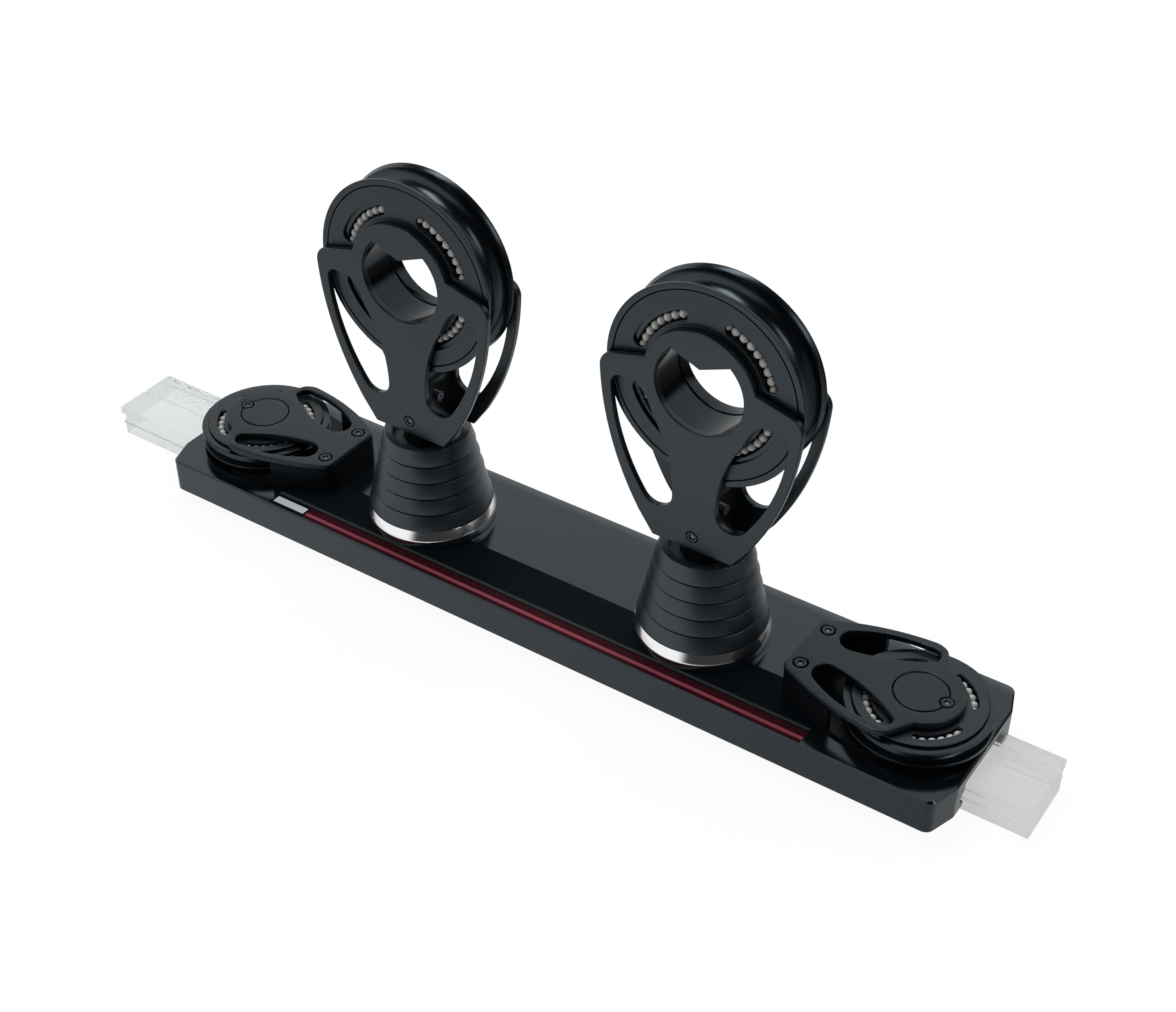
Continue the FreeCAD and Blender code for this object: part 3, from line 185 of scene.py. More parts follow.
# Painted shade dims the table's glow where glossy rays see it, in place of the flags in the car's mirror
# image of the table. Each row is where that painted shade begins and ends to change, along or across, and
# its share before and after.
BESIDE_CAR = (-0.25, 0.35, 0.16, 0.50)
FRONT_LEFT = (-0.15, -0.05, 0.24, 0.0)
FRONT_RIGHT = (0.10, 0.16, 0.0, 0.80)
FRONT_STRIP = (-0.115, -0.070, 1.0, 0.0)
BACK_RIGHT = (0.08, 0.16, 0.0, 0.50)
BACK_STRIP = (0.05, 0.15, 0.0, 1.0)

table_mesh = bpy.data.meshes.new("table")
table_corners = [(x * TABLE_REACH, y * TABLE_REACH, 0) for x, y in ((-1, -1), (1, -1), (1, 1), (-1, 1))]
table_mesh.from_pydata(table_corners, [], [(0, 1, 2, 3)])
table = bpy.data.objects.new("table", table_mesh)
bpy.context.scene.collection.objects.link(table)
table_finish = bpy.data.materials.new("white_table")
table_finish.use_nodes = True
table_tree = table_finish.node_tree
table_tree.nodes.clear()
along, across, _ = axes(node(table_tree, "ShaderNodeTexCoord", out="Object"))
beside = smooth_step(along, *BESIDE_CAR)
front = smooth_step(along, *FRONT_LEFT) + smooth_step(along, *FRONT_RIGHT)
back = smooth_step(along, *BACK_RIGHT) * smooth_step(across, *BACK_STRIP)
shade = beside + (front - beside) * smooth_step(across, *FRONT_STRIP) + back
rays = node(table_tree, "ShaderNodeLightPath", out="Is Camera Ray")
glossy = rays.output("Is Glossy Ray")
direct = (rays + glossy + rays.output("Is Transmission Ray")).or_less(1.0)
matt = node(table_tree, "ShaderNodeBsdfDiffuse", {}, {"Color": TABLE_WHITE})
# The glow that glossy rays see is lowered by the painted shade.
glowing = {"Color": WHITE, "Strength": TABLE_GLOW - glossy * shade}
glow = node(table_tree, "ShaderNodeEmission", {}, glowing)
mixed = node(table_tree, "ShaderNodeMixShader", {}, {0: direct * GLOW_SHARE, 1: matt, 2: glow})
table_out = table_tree.nodes.new("ShaderNodeOutputMaterial")
table_tree.links.new(mixed.socket, table_out.inputs["Surface"])
table_mesh.materials.append(table_finish)

# The camera's place, aim and lens follow from the perspective of the photograph.
CAMERA_PLACE = (0.3059, -0.4361, 0.4590)
CAMERA_AIM = (-0.0008, 0.0187, 0.03375)
CAMERA_LENS = 55.885

camera = bpy.data.cameras.new("camera")
camera.sensor_width = 36.0
camera.lens = CAMERA_LENS
camera.clip_start, camera.clip_end = 0.01, 50.0
watcher = bpy.data.objects.new("camera", camera)
watcher.location = CAMERA_PLACE
watcher.rotation_euler = turn_to(CAMERA_PLACE, CAMERA_AIM)
bpy.context.scene.collection.objects.link(watcher)
bpy.context.scene.camera = watcher
bpy.context.scene.view_settings.view_transform = "Standard"


# The car body is an extruded aluminium slab, machined underneath and black anodised, with a
# satin-gloss skin that mirrors the room. Along its top front edge a matt black band is printed,
# with a red stripe and a pale bar at its left end. A pink highlight is painted along the stripe's
# middle, and a thin grey highlight just behind the stripe.
def finish(name, colour, roughness, metal=0.0, **sockets):
    """A material with one Principled shader. Other sockets are given by name, with _ for a space."""
    coat = bpy.data.materials.new(name)
    coat.use_nodes = True
    coat.diffuse_color = (*colour, 1)
    shader = coat.node_tree.nodes["Principled BSDF"]
    shader.inputs["Base Color"].default_value = (*colour, 1)
    shader.inputs["Roughness"].default_value = roughness
    shader.inputs["Metallic"].default_value = metal
    for socket, value in sockets.items():
        shader.inputs[socket.replace("_", " ")].default_value = value
    return coat


def feed(coat, socket, signal):
    """Links a signal to one socket of a material's shader."""
    shader = coat.node_tree.nodes["Principled BSDF"]
    coat.node_tree.links.new(signal.socket, shader.inputs[socket])


def spot_of(coat):
    """The point being shaded, in metres from the car's origin."""
    return node(coat.node_tree, "ShaderNodeTexCoord", out="Object")


def grain(coat, scale, detail=3.0, stretch=(1, 1, 1)):
    """Noise with this many cells to the metre, drawn out along the axes by the stretch."""
    drawn_out = {0: spot_of(coat), "Scale": stretch}
    point = node(coat.node_tree, "ShaderNodeMapping", {"vector_type": "TEXTURE"}, drawn_out)
    cells = {"Vector": point, "Scale": scale, "Detail": detail}
    return node(coat.node_tree, "ShaderNodeTexNoise", {}, cells)


def relief(coat, height, distance):
    """A bump into the shader's normal: a height signal times a distance in metres."""
    bump = node(coat.node_tree, "ShaderNodeBump", {}, {"Distance": distance, "Height": height})
    feed(coat, "Normal", bump)


def tint(coat, factor, first, second):
    """The first colour where the factor is 0, the second where it is 1, and their mix between."""
    colours = {0: factor, 6: first, 7: second}
    return node(coat.node_tree, "ShaderNodeMix", {"data_type": "RGBA"}, colours, out=2)


MM = 0.001
CAR_TOP = 18.0
ANODISED = (0.0022, 0.0032, 0.0042)
ANODISED_PALE = (0.0030, 0.0042, 0.0054)
COOL = (0.70, 0.87, 1.0, 1.0)
INK_BLACK = (0.0027, 0.0060, 0.0088)
INK_RED = (0.044, 0.0056, 0.0098)
STRIPE_HIGHLIGHT_PINK = (0.330, 0.076, 0.105)
EDGE_HIGHLIGHT_GREY = (0.045, 0.047, 0.052)
INK_PALE = (0.66, 0.68, 0.70)
PRINT_SOFT = 0.00012
PRINT_DEPTH = 0.0002
# Where the print lies, in metres: first along the car, then across it.
PRINT_LENGTH = (-0.1185, 0.1200)
STRIPE_LENGTH = (-0.1010, 0.1200)
BAR_LENGTH = (-0.1174, -0.1022)
FIELD_BAND = (-0.0329, -0.0076)
STRIPE_BAND = (-0.0328, -0.0268)
# The next two bands are painted highlights: a pink one in the stripe and a thin grey one behind it.
HIGHLIGHT_BAND = (-0.0312, -0.0297)
LINE_BAND = (-0.0260, -0.0247)
BAR_BAND = (-0.0311, -0.0277)

slab = finish("anodised_slab", ANODISED, 0.16, Specular_IOR_Level=0.62, Specular_Tint=COOL)
x, y, z = axes(spot_of(slab))


def between(signal, low, high):
    """1 between two places along an axis and 0 outside them, with a soft printed edge."""
    begun = smooth_step(signal, low - PRINT_SOFT, low + PRINT_SOFT)
    return begun * (1 - smooth_step(signal, high - PRINT_SOFT, high + PRINT_SOFT))


on_top = between(x, *PRINT_LENGTH) * (z > CAR_TOP * MM - PRINT_DEPTH)
field = between(y, *FIELD_BAND) * on_top
stripe = between(y, *STRIPE_BAND) * between(x, *STRIPE_LENGTH)
highlight = between(y, *HIGHLIGHT_BAND) * between(x, *STRIPE_LENGTH)
line = between(y, *LINE_BAND)
bar = between(y, *BAR_BAND) * between(x, *BAR_LENGTH)
ink_and_highlights = tint(slab, stripe, INK_BLACK, INK_RED)
# Painted highlights: pink along the stripe's middle, and grey in a thin line behind the stripe.
ink_and_highlights = tint(slab, highlight, ink_and_highlights, STRIPE_HIGHLIGHT_PINK)
ink_and_highlights = tint(slab, line, ink_and_highlights, EDGE_HIGHLIGHT_GREY)
ink_and_highlights = tint(slab, bar, ink_and_highlights, INK_PALE)
matt_ink_and_highlights = {"Base Color": ink_and_highlights, "Roughness": 0.55, "Specular IOR Level": 0.03}
printed = node(slab.node_tree, "ShaderNodeBsdfPrincipled", {}, matt_ink_and_highlights)
bare = Signal(slab.node_tree, slab.node_tree.nodes["Principled BSDF"].outputs[0])
both = node(slab.node_tree, "ShaderNodeMixShader", {}, {0: field, 1: bare, 2: printed})
slab.node_tree.links.new(both.socket, slab.node_tree.nodes["Material Output"].inputs["Surface"])

# The skin is finely blasted and drawn lengthways, and it falls off a little towards the back edge.
SKIN_RELIEF = 0.000004
SHOULDER_START = 0.0282
SHOULDER_WIDTH = 0.0050
SHOULDER_FALL = 0.00075

blast = grain(slab, 900.0, detail=2.0)
drawn = grain(slab, 260.0, stretch=(14, 1, 1))
feed(slab, "Base Color", tint(slab, drawn, ANODISED, ANODISED_PALE))
feed(slab, "Roughness", drawn * 0.06 + 0.12)
shoulder = ((y - SHOULDER_START) / SHOULDER_WIDTH).or_more(0.0)
relief(slab, (blast * 0.6 + drawn * 0.4) * SKIN_RELIEF - shoulder * shoulder * SHOULDER_FALL, 1.0)


def wear(coat, *names):
    """Gives CAD nodes a material in place of their plain one."""
    for name in names:
        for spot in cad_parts[name].material_slots:
            spot.material = coat


wear(slab, "car_body")


# The loader is a dummy length of track in clear, slightly milky plastic. It is extruded, with a
# race down each side, so it lines up with the balls and holds them in until the car is fitted.
# The loader's colour is painted darker at its left end and lighter at its right, as light and shade, with
# a smooth fade between.
LOADER_SHADED_LEFT = (0.80, 0.85, 0.845)
LOADER_LIT_RIGHT = (0.97, 0.985, 0.985)
LOADER_LIGHT_FADE = (-0.17, 0.17)

milky = finish("milky_extrusion", (0.93, 0.96, 0.955), 0.10, Transmission_Weight=0.88, IOR=1.16)
loader_x = axes(spot_of(milky))[0]
haze = grain(milky, 60.0, detail=4.0, stretch=(6, 1, 1))
feed(milky, "Roughness", haze * 0.08 + 0.06)
feed(milky, "Base Color", tint(milky, smooth_step(loader_x, *LOADER_LIGHT_FADE), LOADER_SHADED_LEFT, LOADER_LIT_RIGHT))
relief(milky, grain(milky, 900.0, detail=1.0, stretch=(60, 1, 1)), 0.000006)
wear(milky, "track_loader")


# The load-bearing balls are hard pale plastic, ground smooth. They run in two rows between the
# track and the car, and the black plastic guides turn them round at the ends of the races.
MERGE_DISTANCE = 1e-6
SHARP_EDGE = math.radians(38)
COARSE_BALL = (8, 14)


def shape(name, corners, faces, body, coat, slot, *stands_for):
    """Puts corners in millimetres and faces into a mesh, faces outwards, that rides on a body. A
    piece that bends between two bodies gets no body here."""
    mesh = bpy.data.meshes.new(name)
    mesh.from_pydata((np.asarray(corners, float) * MM).tolist(), [], [list(face) for face in faces])
    work = bmesh.new()
    work.from_mesh(mesh)
    bmesh.ops.remove_doubles(work, verts=work.verts, dist=MERGE_DISTANCE)
    bmesh.ops.recalc_face_normals(work, faces=work.faces)
    work.to_mesh(mesh)
    work.free()
    mesh.shade_smooth()
    mesh.set_sharp_from_angle(angle=SHARP_EDGE)
    mesh.materials.append(coat)
    piece = bpy.data.objects.new(name, mesh)
    bpy.context.scene.collection.objects.link(piece)
    if body:
        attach(piece, body)
    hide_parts(*stands_for)
    return piece


def balls(name, centres, radius, steps, body, coat, slot, *stands_for):
    """Spheres in one mesh: a centre plus the radius times (sin tilt cos turn, sin tilt sin turn,
    cos tilt), with a fan at both poles. steps are the faces from pole to pole and round."""
    rows, columns = steps
    tilts = np.linspace(0, math.pi, rows + 1)
    turns = np.linspace(0, 2 * math.pi, columns, endpoint=False)
    tilt, turn = np.meshgrid(tilts, turns, indexing="ij")
    ball = np.stack([np.sin(tilt) * np.cos(turn), np.sin(tilt) * np.sin(turn), np.cos(tilt)], -1)
    ball = ball.reshape(-1, 3) * radius
    index = np.arange((rows + 1) * columns).reshape(rows + 1, columns)
    following = np.roll(index, -1, 1)
    quads = np.stack([index[:-1], index[1:], following[1:], following[:-1]], -1).reshape(-1, 4)
    centres = np.asarray(centres, float)
    corners = (centres[:, None] + ball[None]).reshape(-1, 3)
    faces = (quads[None] + (np.arange(len(centres)) * len(ball))[:, None, None]).reshape(-1, 4)
    shape(name, corners, faces, body, coat, slot, *stands_for)


# The balls have their own pale tone. Above a height, where the thrust balls sit behind the cheeks, a
# darker colour is painted on them as shade.
BALL_OWN_DARK = (0.70, 0.70, 0.68)
BALL_OWN_PALE = (0.88, 0.88, 0.86)
BALL_SHADED_DARK = (0.50, 0.49, 0.47)
BALL_SHADED_PALE = (0.68, 0.67, 0.65)
BALL_SHADE_ABOVE = (0.035, 0.060)

pearl = finish("ball_plastic", (0.80, 0.80, 0.78), 0.14, Specular_IOR_Level=0.7)
mottle = grain(pearl, 900.0, detail=2.0)
own_tone = tint(pearl, mottle, BALL_OWN_DARK, BALL_OWN_PALE)
painted_shade_tone = tint(pearl, mottle, BALL_SHADED_DARK, BALL_SHADED_PALE)
ball_height = axes(spot_of(pearl))[2]
# Painted shade: the balls above the given height take the darker colour.
feed(pearl, "Base Color", tint(pearl, smooth_step(ball_height, *BALL_SHADE_ABOVE), own_tone, painted_shade_tone))

LOAD_BALL = 2.38
LOAD_COUNT = 61
LOAD_PITCH = 4.95
LOAD_ROW = 15.2
LOAD_HEIGHT = 8.5

load_x = (np.arange(LOAD_COUNT) - (LOAD_COUNT - 1) / 2) * LOAD_PITCH
load_y = np.repeat([-LOAD_ROW, LOAD_ROW], LOAD_COUNT)
load_centres = np.stack([np.tile(load_x, 2), load_y, np.full(LOAD_COUNT * 2, LOAD_HEIGHT)], 1)
balls(
    "load_ball_rows", load_centres, LOAD_BALL, COARSE_BALL, "car", pearl, "ball_plastic", "load_balls",
)

MOULDED = (0.0045, 0.0058, 0.0072)

moulded = finish("moulded_black", MOULDED, 0.34, Specular_IOR_Level=0.58, Specular_Tint=COOL)
orange_peel = grain(moulded, 1500.0, detail=2.0)
feed(moulded, "Roughness", orange_peel * 0.12 + 0.27)
relief(moulded, orange_peel, 0.000012)
wear(moulded, "ball_guides")


# Under each stand-up block a stainless ring is turned bright on its rim and screwed to the car
# by four socket screws. It holds down the disc of the stud that the block swivels on.
BLOCK_X = {"left": -61.8, "right": 61.8}
CORNER_STEPS = 5
TURN_STEPS = 160
SHORTEST_SHARE = 0.4


def softened(path, ease, closed=True):
    """A profile whose corners are rounded: each corner becomes a small curve, a quadratic with
    the corner as its middle point, that starts and ends at ease from it, or at two fifths of a
    shorter side."""
    path = np.asarray(path, float)
    before, after = np.roll(path, 1, 0), np.roll(path, -1, 0)
    back, on = before - path, after - path
    back_length = np.linalg.norm(back, axis=1, keepdims=True)
    on_length = np.linalg.norm(on, axis=1, keepdims=True)
    cut = np.minimum(ease, SHORTEST_SHARE * np.minimum(back_length, on_length))
    if not closed:
        cut[[0, -1]] = 0.0
    first, last = path + back / back_length * cut, path + on / on_length * cut
    share = np.linspace(0, 1, CORNER_STEPS)[None, :, None]
    from_start = first[:, None] * (1 - share) ** 2
    from_corner = path[:, None] * 2 * share * (1 - share)
    return (from_start + from_corner + last[:, None] * share**2).reshape(-1, 2)


def turned(name, profile, centres, axis, body, coat, slot, *stands_for, steps=TURN_STEPS, closed=True):
    """A profile of radius and height carried once round an axis through each of the centres:
    (radius cos turn, radius sin turn) across the axis, and the height along it."""
    profile = np.asarray(profile, float)
    turn = np.linspace(0, 2 * math.pi, steps, endpoint=False)
    radius, height = profile[:, :1], profile[:, 1:]
    u, v = radius * np.cos(turn), radius * np.sin(turn)
    w = np.broadcast_to(height, u.shape)
    order = {"Z": (u, v, w), "Y": (u, w, v)}[axis]
    one = np.stack(order, -1).reshape(-1, 3)
    centres = np.asarray(centres, float).reshape(-1, 1, 3)
    index = np.arange(len(profile) * steps).reshape(len(profile), steps)
    nearby = np.roll(index, -1, 1)
    following, crossing = np.roll(index, -1, 0), np.roll(nearby, -1, 0)
    quads = np.stack([index, following, crossing, nearby], -1)
    if not closed:
        quads = quads[:-1]
    starts = np.arange(len(centres)).reshape(-1, 1, 1) * len(one)
    faces = (quads.reshape(1, -1, 4) + starts).reshape(-1, 4)
    return shape(name, (one + centres).reshape(-1, 3), faces, body, coat, slot, *stands_for)


steel = finish("turned_steel", (0.88, 0.88, 0.89), 0.16, metal=1.0)
lathe_marks = grain(steel, 2500.0, detail=2.0, stretch=(6, 6, 1))
feed(steel, "Roughness", lathe_marks * 0.08 + 0.11)
relief(steel, lathe_marks, 0.000006)

RING_RADIUS = 25.2
RING_TOP_RADIUS = 23.2
RING_RIM = 3.2
RING_HEIGHT = 7.0
RING_BORE = 10.08
STUD_SEAT = 14.08
STUD_SEAT_DEPTH = 3.36
RING_EASE = 0.5

ring = [
    (STUD_SEAT, 0.0), (RING_RADIUS, 0.0), (RING_RADIUS, RING_RIM), (RING_TOP_RADIUS, RING_HEIGHT),
    (RING_BORE, RING_HEIGHT), (RING_BORE, STUD_SEAT_DEPTH), (STUD_SEAT, STUD_SEAT_DEPTH),
]
for side, block_x in BLOCK_X.items():
    turned(
        f"{side}_base_ring", softened(ring, RING_EASE), (block_x, 0, CAR_TOP), "Z",
        "car", steel, "stainless", f"{side}_swivel_base",
    )
    wear(steel, f"{side}_swivel_stud", f"{side}_lower_pin", f"{side}_upper_pin")
wear(steel, "base_screws")


# The boot is a moulded rubber cone of five shingled bands, thinned by four grooves so that it
# bends, with a foot that flares. It stands on the steel ring, hugs the block's neck and springs
# the block back upright.
FOOT_RISE = RING_HEIGHT
BOOT_TOP = 39.5
FOOT_RADIUS = 23.4
TOP_RADIUS = 16.4
BANDS = 5
GROOVE_DEPTH = 1.5
GROOVE_HALF = 0.45
BAND_TUCK = 0.15
BAND_FLARE = 0.5
SKIRT = 1.1
SKIRT_EASE = 1.1
BAND_EASE = 0.35
FOOT_INSET = 2.0
BOOT_WALL = 3.1
LIP_LAND = 1.0
LIP_CHAMFER = 0.6
BEAD_RADIUS = 9.2
BEAD_TOP = BOOT_TOP - 3.0
BEAD_FOOT = BOOT_TOP - 5.0
WALL_START = FOOT_RISE + 2.0
RUBBER_DARK = (0.0040, 0.0052, 0.0066)
RUBBER_DUSTY = (0.0080, 0.0098, 0.0120)

rubber = finish("boot_rubber", (0.006, 0.007, 0.009), 0.38, Specular_IOR_Level=0.90, Specular_Tint=COOL)
dust = grain(rubber, 70.0)
feed(rubber, "Base Color", tint(rubber, dust, RUBBER_DARK, RUBBER_DUSTY))
feed(rubber, "Roughness", dust * 0.14 + 0.30)
relief(rubber, grain(rubber, 1400.0), 0.00002)

pitch = (BOOT_TOP - FOOT_RISE) / BANDS
seam = FOOT_RISE + pitch * 2


def cone(height):
    """The boot's radius at a height: it falls evenly from the foot to the top."""
    return FOOT_RADIUS + (TOP_RADIUS - FOOT_RADIUS) * (height - FOOT_RISE) / (BOOT_TOP - FOOT_RISE)


outside = [(FOOT_RADIUS - FOOT_INSET, FOOT_RISE), (FOOT_RADIUS + SKIRT, FOOT_RISE)]
for number in range(1, BANDS):
    level = FOOT_RISE + pitch * number
    floor_radius = cone(level) - GROOVE_DEPTH
    outside += [(cone(level) - BAND_TUCK, level - GROOVE_HALF), (floor_radius, level - GROOVE_HALF)]
    outside += [(floor_radius, level + GROOVE_HALF), (cone(level) + BAND_FLARE, level + GROOVE_HALF)]
outside += [(TOP_RADIUS, BOOT_TOP), (TOP_RADIUS - LIP_LAND, BOOT_TOP)]
corner_ease = np.full((len(outside), 1), BAND_EASE)
corner_ease[1] = SKIRT_EASE
outside = softened(outside, corner_ease, closed=False)
lip_radius, foot_bore = TOP_RADIUS - BOOT_WALL, FOOT_RADIUS - BOOT_WALL
inside = np.array([
    (lip_radius + LIP_CHAMFER, BOOT_TOP), (lip_radius, BOOT_TOP - LIP_CHAMFER), (lip_radius, BEAD_TOP),
    (BEAD_RADIUS, BEAD_TOP), (BEAD_RADIUS, BEAD_FOOT), (lip_radius, BEAD_FOOT),
    (foot_bore, WALL_START), (foot_bore, FOOT_RISE),
])
outer_seam = (cone(seam) - GROOVE_DEPTH, seam)
inner_seam = (np.interp(seam, [WALL_START, BEAD_FOOT], [foot_bore, lip_radius]), seam)
lower_half = np.concatenate([
    outside[outside[:, 1] < seam], [outer_seam, inner_seam], inside[inside[:, 1] < seam],
])
upper_half = np.concatenate([
    [outer_seam], outside[outside[:, 1] > seam], inside[inside[:, 1] > seam], [inner_seam],
])

for side, block_x in BLOCK_X.items():
    lower, upper = (
        turned(
            f"{side}_boot_{half}", profile, (block_x, 0, CAR_TOP), "Z",
            None, rubber, "boot_rubber", f"{side}_boot", steps=128,
        )
        for half, profile in (("lower", lower_half), ("upper", upper_half))
    )
    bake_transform(lower)
    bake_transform(upper)


# Inside the boot the toggle crosses two steel pins, so the block leans both ways. The head post
# is a black anodised forging: an eye on the upper pin, a round neck and a flat between the cheeks.
forged = finish("forged_black", (0.004, 0.005, 0.006), 0.30, Specular_Tint=COOL)
scale_marks = grain(forged, 700.0)
feed(forged, "Roughness", scale_marks * 0.16 + 0.22)
relief(forged, scale_marks, 0.000010)
for side in BLOCK_X:
    wear(forged, f"{side}_toggle", f"{side}_head_post")
    wear(steel, f"{side}_head_screw")


# The cheeks are flat aluminium plates, milled to outline, black anodised over a fine blasted
# grain, with two teardrop windows and one small screw at the foot that holds the head post.
HUB_Z = CAR_TOP + 108.35
CHEEK_FACE = 10.4
CHEEK_BACK = 7.9
CHEEK_EASE = 0.45
ARC_STEPS = 14
FINE_ARC_STEPS = 26
WIDE_ARC = 12
EDGE_STEPS = 4
SHARPEST_MITRE = 0.35


def bow(path, steps=ARC_STEPS):
    """A closed outline from corners (u, v) or (u, v, radius of the arc that leaves it), where a
    positive radius turns left and "half" is a half circle. Each arc is its centre plus its radius
    at evenly spaced angles, steps of them to a radian, and more where the arc is wide."""
    points = []
    for here, there in zip(path, path[1:] + path[:1]):
        start, end = np.array(here[:2], float), np.array(there[:2], float)
        if len(here) == 2:
            points.append(start[None])
            continue
        chord = end - start
        half = np.linalg.norm(chord) / 2
        radius = here[2] if here[2] != "half" else half
        offset = math.copysign(math.sqrt(max(radius**2 - half**2, 0.0)), radius)
        centre = (start + end) / 2 + np.array([-chord[1], chord[0]]) / (2 * half) * offset
        first = math.atan2(*(start - centre)[::-1])
        turn = 2 * math.copysign(math.asin(min(1.0, half / abs(radius))), radius)
        count = max(3, int(steps * abs(turn) * max(1.0, abs(radius) / WIDE_ARC)))
        angle = first + turn * np.arange(count)[:, None] / count
        points.append(centre + abs(radius) * np.hstack([np.cos(angle), np.sin(angle)]))
    return np.concatenate(points)


def mirrored(half, flip, closing=()):
    """A closed outline from one half of it: the half, then its corners backwards with u and v
    multiplied by flip, each arc now leaving the corner that it led to. closing is the radius of
    an arc back to the start."""
    back = [
        (flip[0] * here[0], flip[1] * here[1], *before[2:])
        for here, before in zip(half[:0:-1], half[-2::-1])
    ]
    last = (flip[0] * half[0][0], flip[1] * half[0][1], *closing)
    return bow(half + back + [last])


def round_hole(u, v, radius, steps=96):
    """A circle as a closed outline: its centre plus its radius at evenly spaced angles."""
    turn = np.linspace(0, 2 * math.pi, steps, endpoint=False)[:, None]
    return np.array([u, v]) + radius * np.hstack([np.cos(turn), np.sin(turn)])


def signed_area(ring):
    """Half the sum of the cross products of neighbouring corners: positive where it turns left."""
    following = np.roll(ring, -1, 0)
    return 0.5 * float(np.sum(ring[:, 0] * following[:, 1] - ring[:, 1] * following[:, 0]))


def inwards(ring):
    """The step into the material at each corner of a ring that has it on its left: the sum of
    the two sides' left normals over one plus their dot product, which keeps the wall's width."""
    following, previous = np.roll(ring, -1, 0), np.roll(ring, 1, 0)
    on, back = following - ring, ring - previous
    on /= np.linalg.norm(on, axis=1, keepdims=True)
    back /= np.linalg.norm(back, axis=1, keepdims=True)
    left = np.stack([-on[:, 1], on[:, 0]], 1), np.stack([-back[:, 1], back[:, 0]], 1)
    both = np.sum(left[0] * left[1], axis=1, keepdims=True)
    return (left[0] + left[1]) / np.maximum(1 + both, SHARPEST_MITRE)


def plate(name, outline, holes, low, high, ease, lay, body, coat, slot, *stands_for):
    """A flat plate: each rim is its outline carried over two quarter rounds of radius ease, and
    both faces are filled between the rims. lay turns its own (u, v, height) into the car's place."""
    rings = [outline if signed_area(outline) > 0 else outline[::-1]]
    rings += [hole if signed_area(hole) < 0 else hole[::-1] for hole in holes]
    arc = np.linspace(0, math.pi / 2, EDGE_STEPS)
    inset = np.concatenate([ease * (1 - np.sin(arc)), ease * (1 - np.cos(arc))])
    level = np.concatenate([low + ease * (1 - np.cos(arc)), high - ease + ease * np.sin(arc)])
    walls, numbers, faces, start = [], [], [], 0
    for ring in rings:
        wall = ring[:, None] + inwards(ring)[:, None] * inset[None, :, None]
        heights = np.broadcast_to(level[None, :, None], (*wall.shape[:2], 1))
        walls.append(np.concatenate([wall, heights], -1))
        index = start + np.arange(len(ring) * len(level)).reshape(len(ring), len(level))
        following = np.roll(index, -1, 0)
        quads = np.stack([index[:, :-1], following[:, :-1], following[:, 1:], index[:, 1:]], -1)
        faces += quads.reshape(-1, 4).tolist()
        numbers.append(index[:, 0])
        start += index.size
    rims = [[Vector((*point[:2], 0)) for point in wall[:, 0]] for wall in walls]
    fill = np.concatenate(numbers)[np.array(geometry.tessellate_polygon(rims))]
    faces += fill[:, ::-1].tolist()
    faces += (fill + len(level) - 1).tolist()
    corners = np.concatenate([wall.reshape(-1, 3) for wall in walls])
    piece = shape(name, lay(corners), faces, body, coat, slot, *stands_for)
    steady = piece.modifiers.new("flat_faces", "WEIGHTED_NORMAL")
    steady.keep_sharp = True


CLOUD_DARK = (0.0034, 0.0046, 0.0060)
CLOUD_PALE = (0.0062, 0.0080, 0.0100)
BLASTED = (0.005, 0.006, 0.0072)


def blasted_plate(name, level):
    """Black anodising over a blasted plate: this specular level, and a faint cloud in its colour
    and gloss."""
    coat = finish(name, BLASTED, 0.34, Specular_IOR_Level=level, Specular_Tint=COOL)
    cloud = grain(coat, 45.0)
    feed(coat, "Base Color", tint(coat, cloud, CLOUD_DARK, CLOUD_PALE))
    feed(coat, "Roughness", cloud * 0.12 + 0.26)
    relief(coat, grain(coat, 1500.0), 0.000014)
    return coat


cheek_finish = blasted_plate("anodised_cheek", 0.60)

HEAD = 21.8
SHOULDER = 6.0
shoulder_x = math.sqrt(HEAD**2 - SHOULDER**2)
right_edge = [
    (shoulder_x, SHOULDER), (35.4, 2.2, -6.3), (38.5, -3.5, -114.8), (22.0, -57.5), (16.0, -66.0),
]
cheek_outline = mirrored(right_edge, (-1, 1), closing=(-HEAD,))


def teardrop(way):
    """One window of a cheek, seen from the hub's centre: five arcs and a straight top."""
    return bow([
        (way * 30.6, -5.2, -way * 4.2), (way * 33.9, -9.2, -way * 79.0), (way * 19.9, -50.2, -way * 6.3),
        (way * 8.7, -47.0, -way * 55.0), (way * 17.5, -15.5, -way * 20.0), (way * 24.0, -5.2),
    ])


def upright(block_x, facing):
    """Lays a plate in the plane of a cheek: u along the car, v upwards from the hub, and its
    height outwards from the block's middle plane, to the front or the back as facing says."""
    return lambda p: np.stack([p[:, 0] + block_x, facing * p[:, 2], p[:, 1] + HUB_Z], 1)


TAB_TIP = 8.2
TAB_SLOPE = 0.395


def heart(radius, tip):
    """The hub's opening: a circle with a shallow V hanging from its top. The V's sides rise from
    the tip at a set slope and end where they meet the circle, a root of a quadratic."""
    a, b, c = 1 + TAB_SLOPE**2, 2 * tip * TAB_SLOPE, tip**2 - radius**2
    across = (-b + math.sqrt(b * b - 4 * a * c)) / (2 * a)
    up = tip + TAB_SLOPE * across
    return bow([(-across, up, radius), (0, -radius, radius), (across, up), (0, tip)], FINE_ARC_STEPS)


HUB_MOUTH = 16.8
COLLAR_HOLE = 19.72
FOOT_SCREW = -60.5
FOOT_HOLE = 2.3

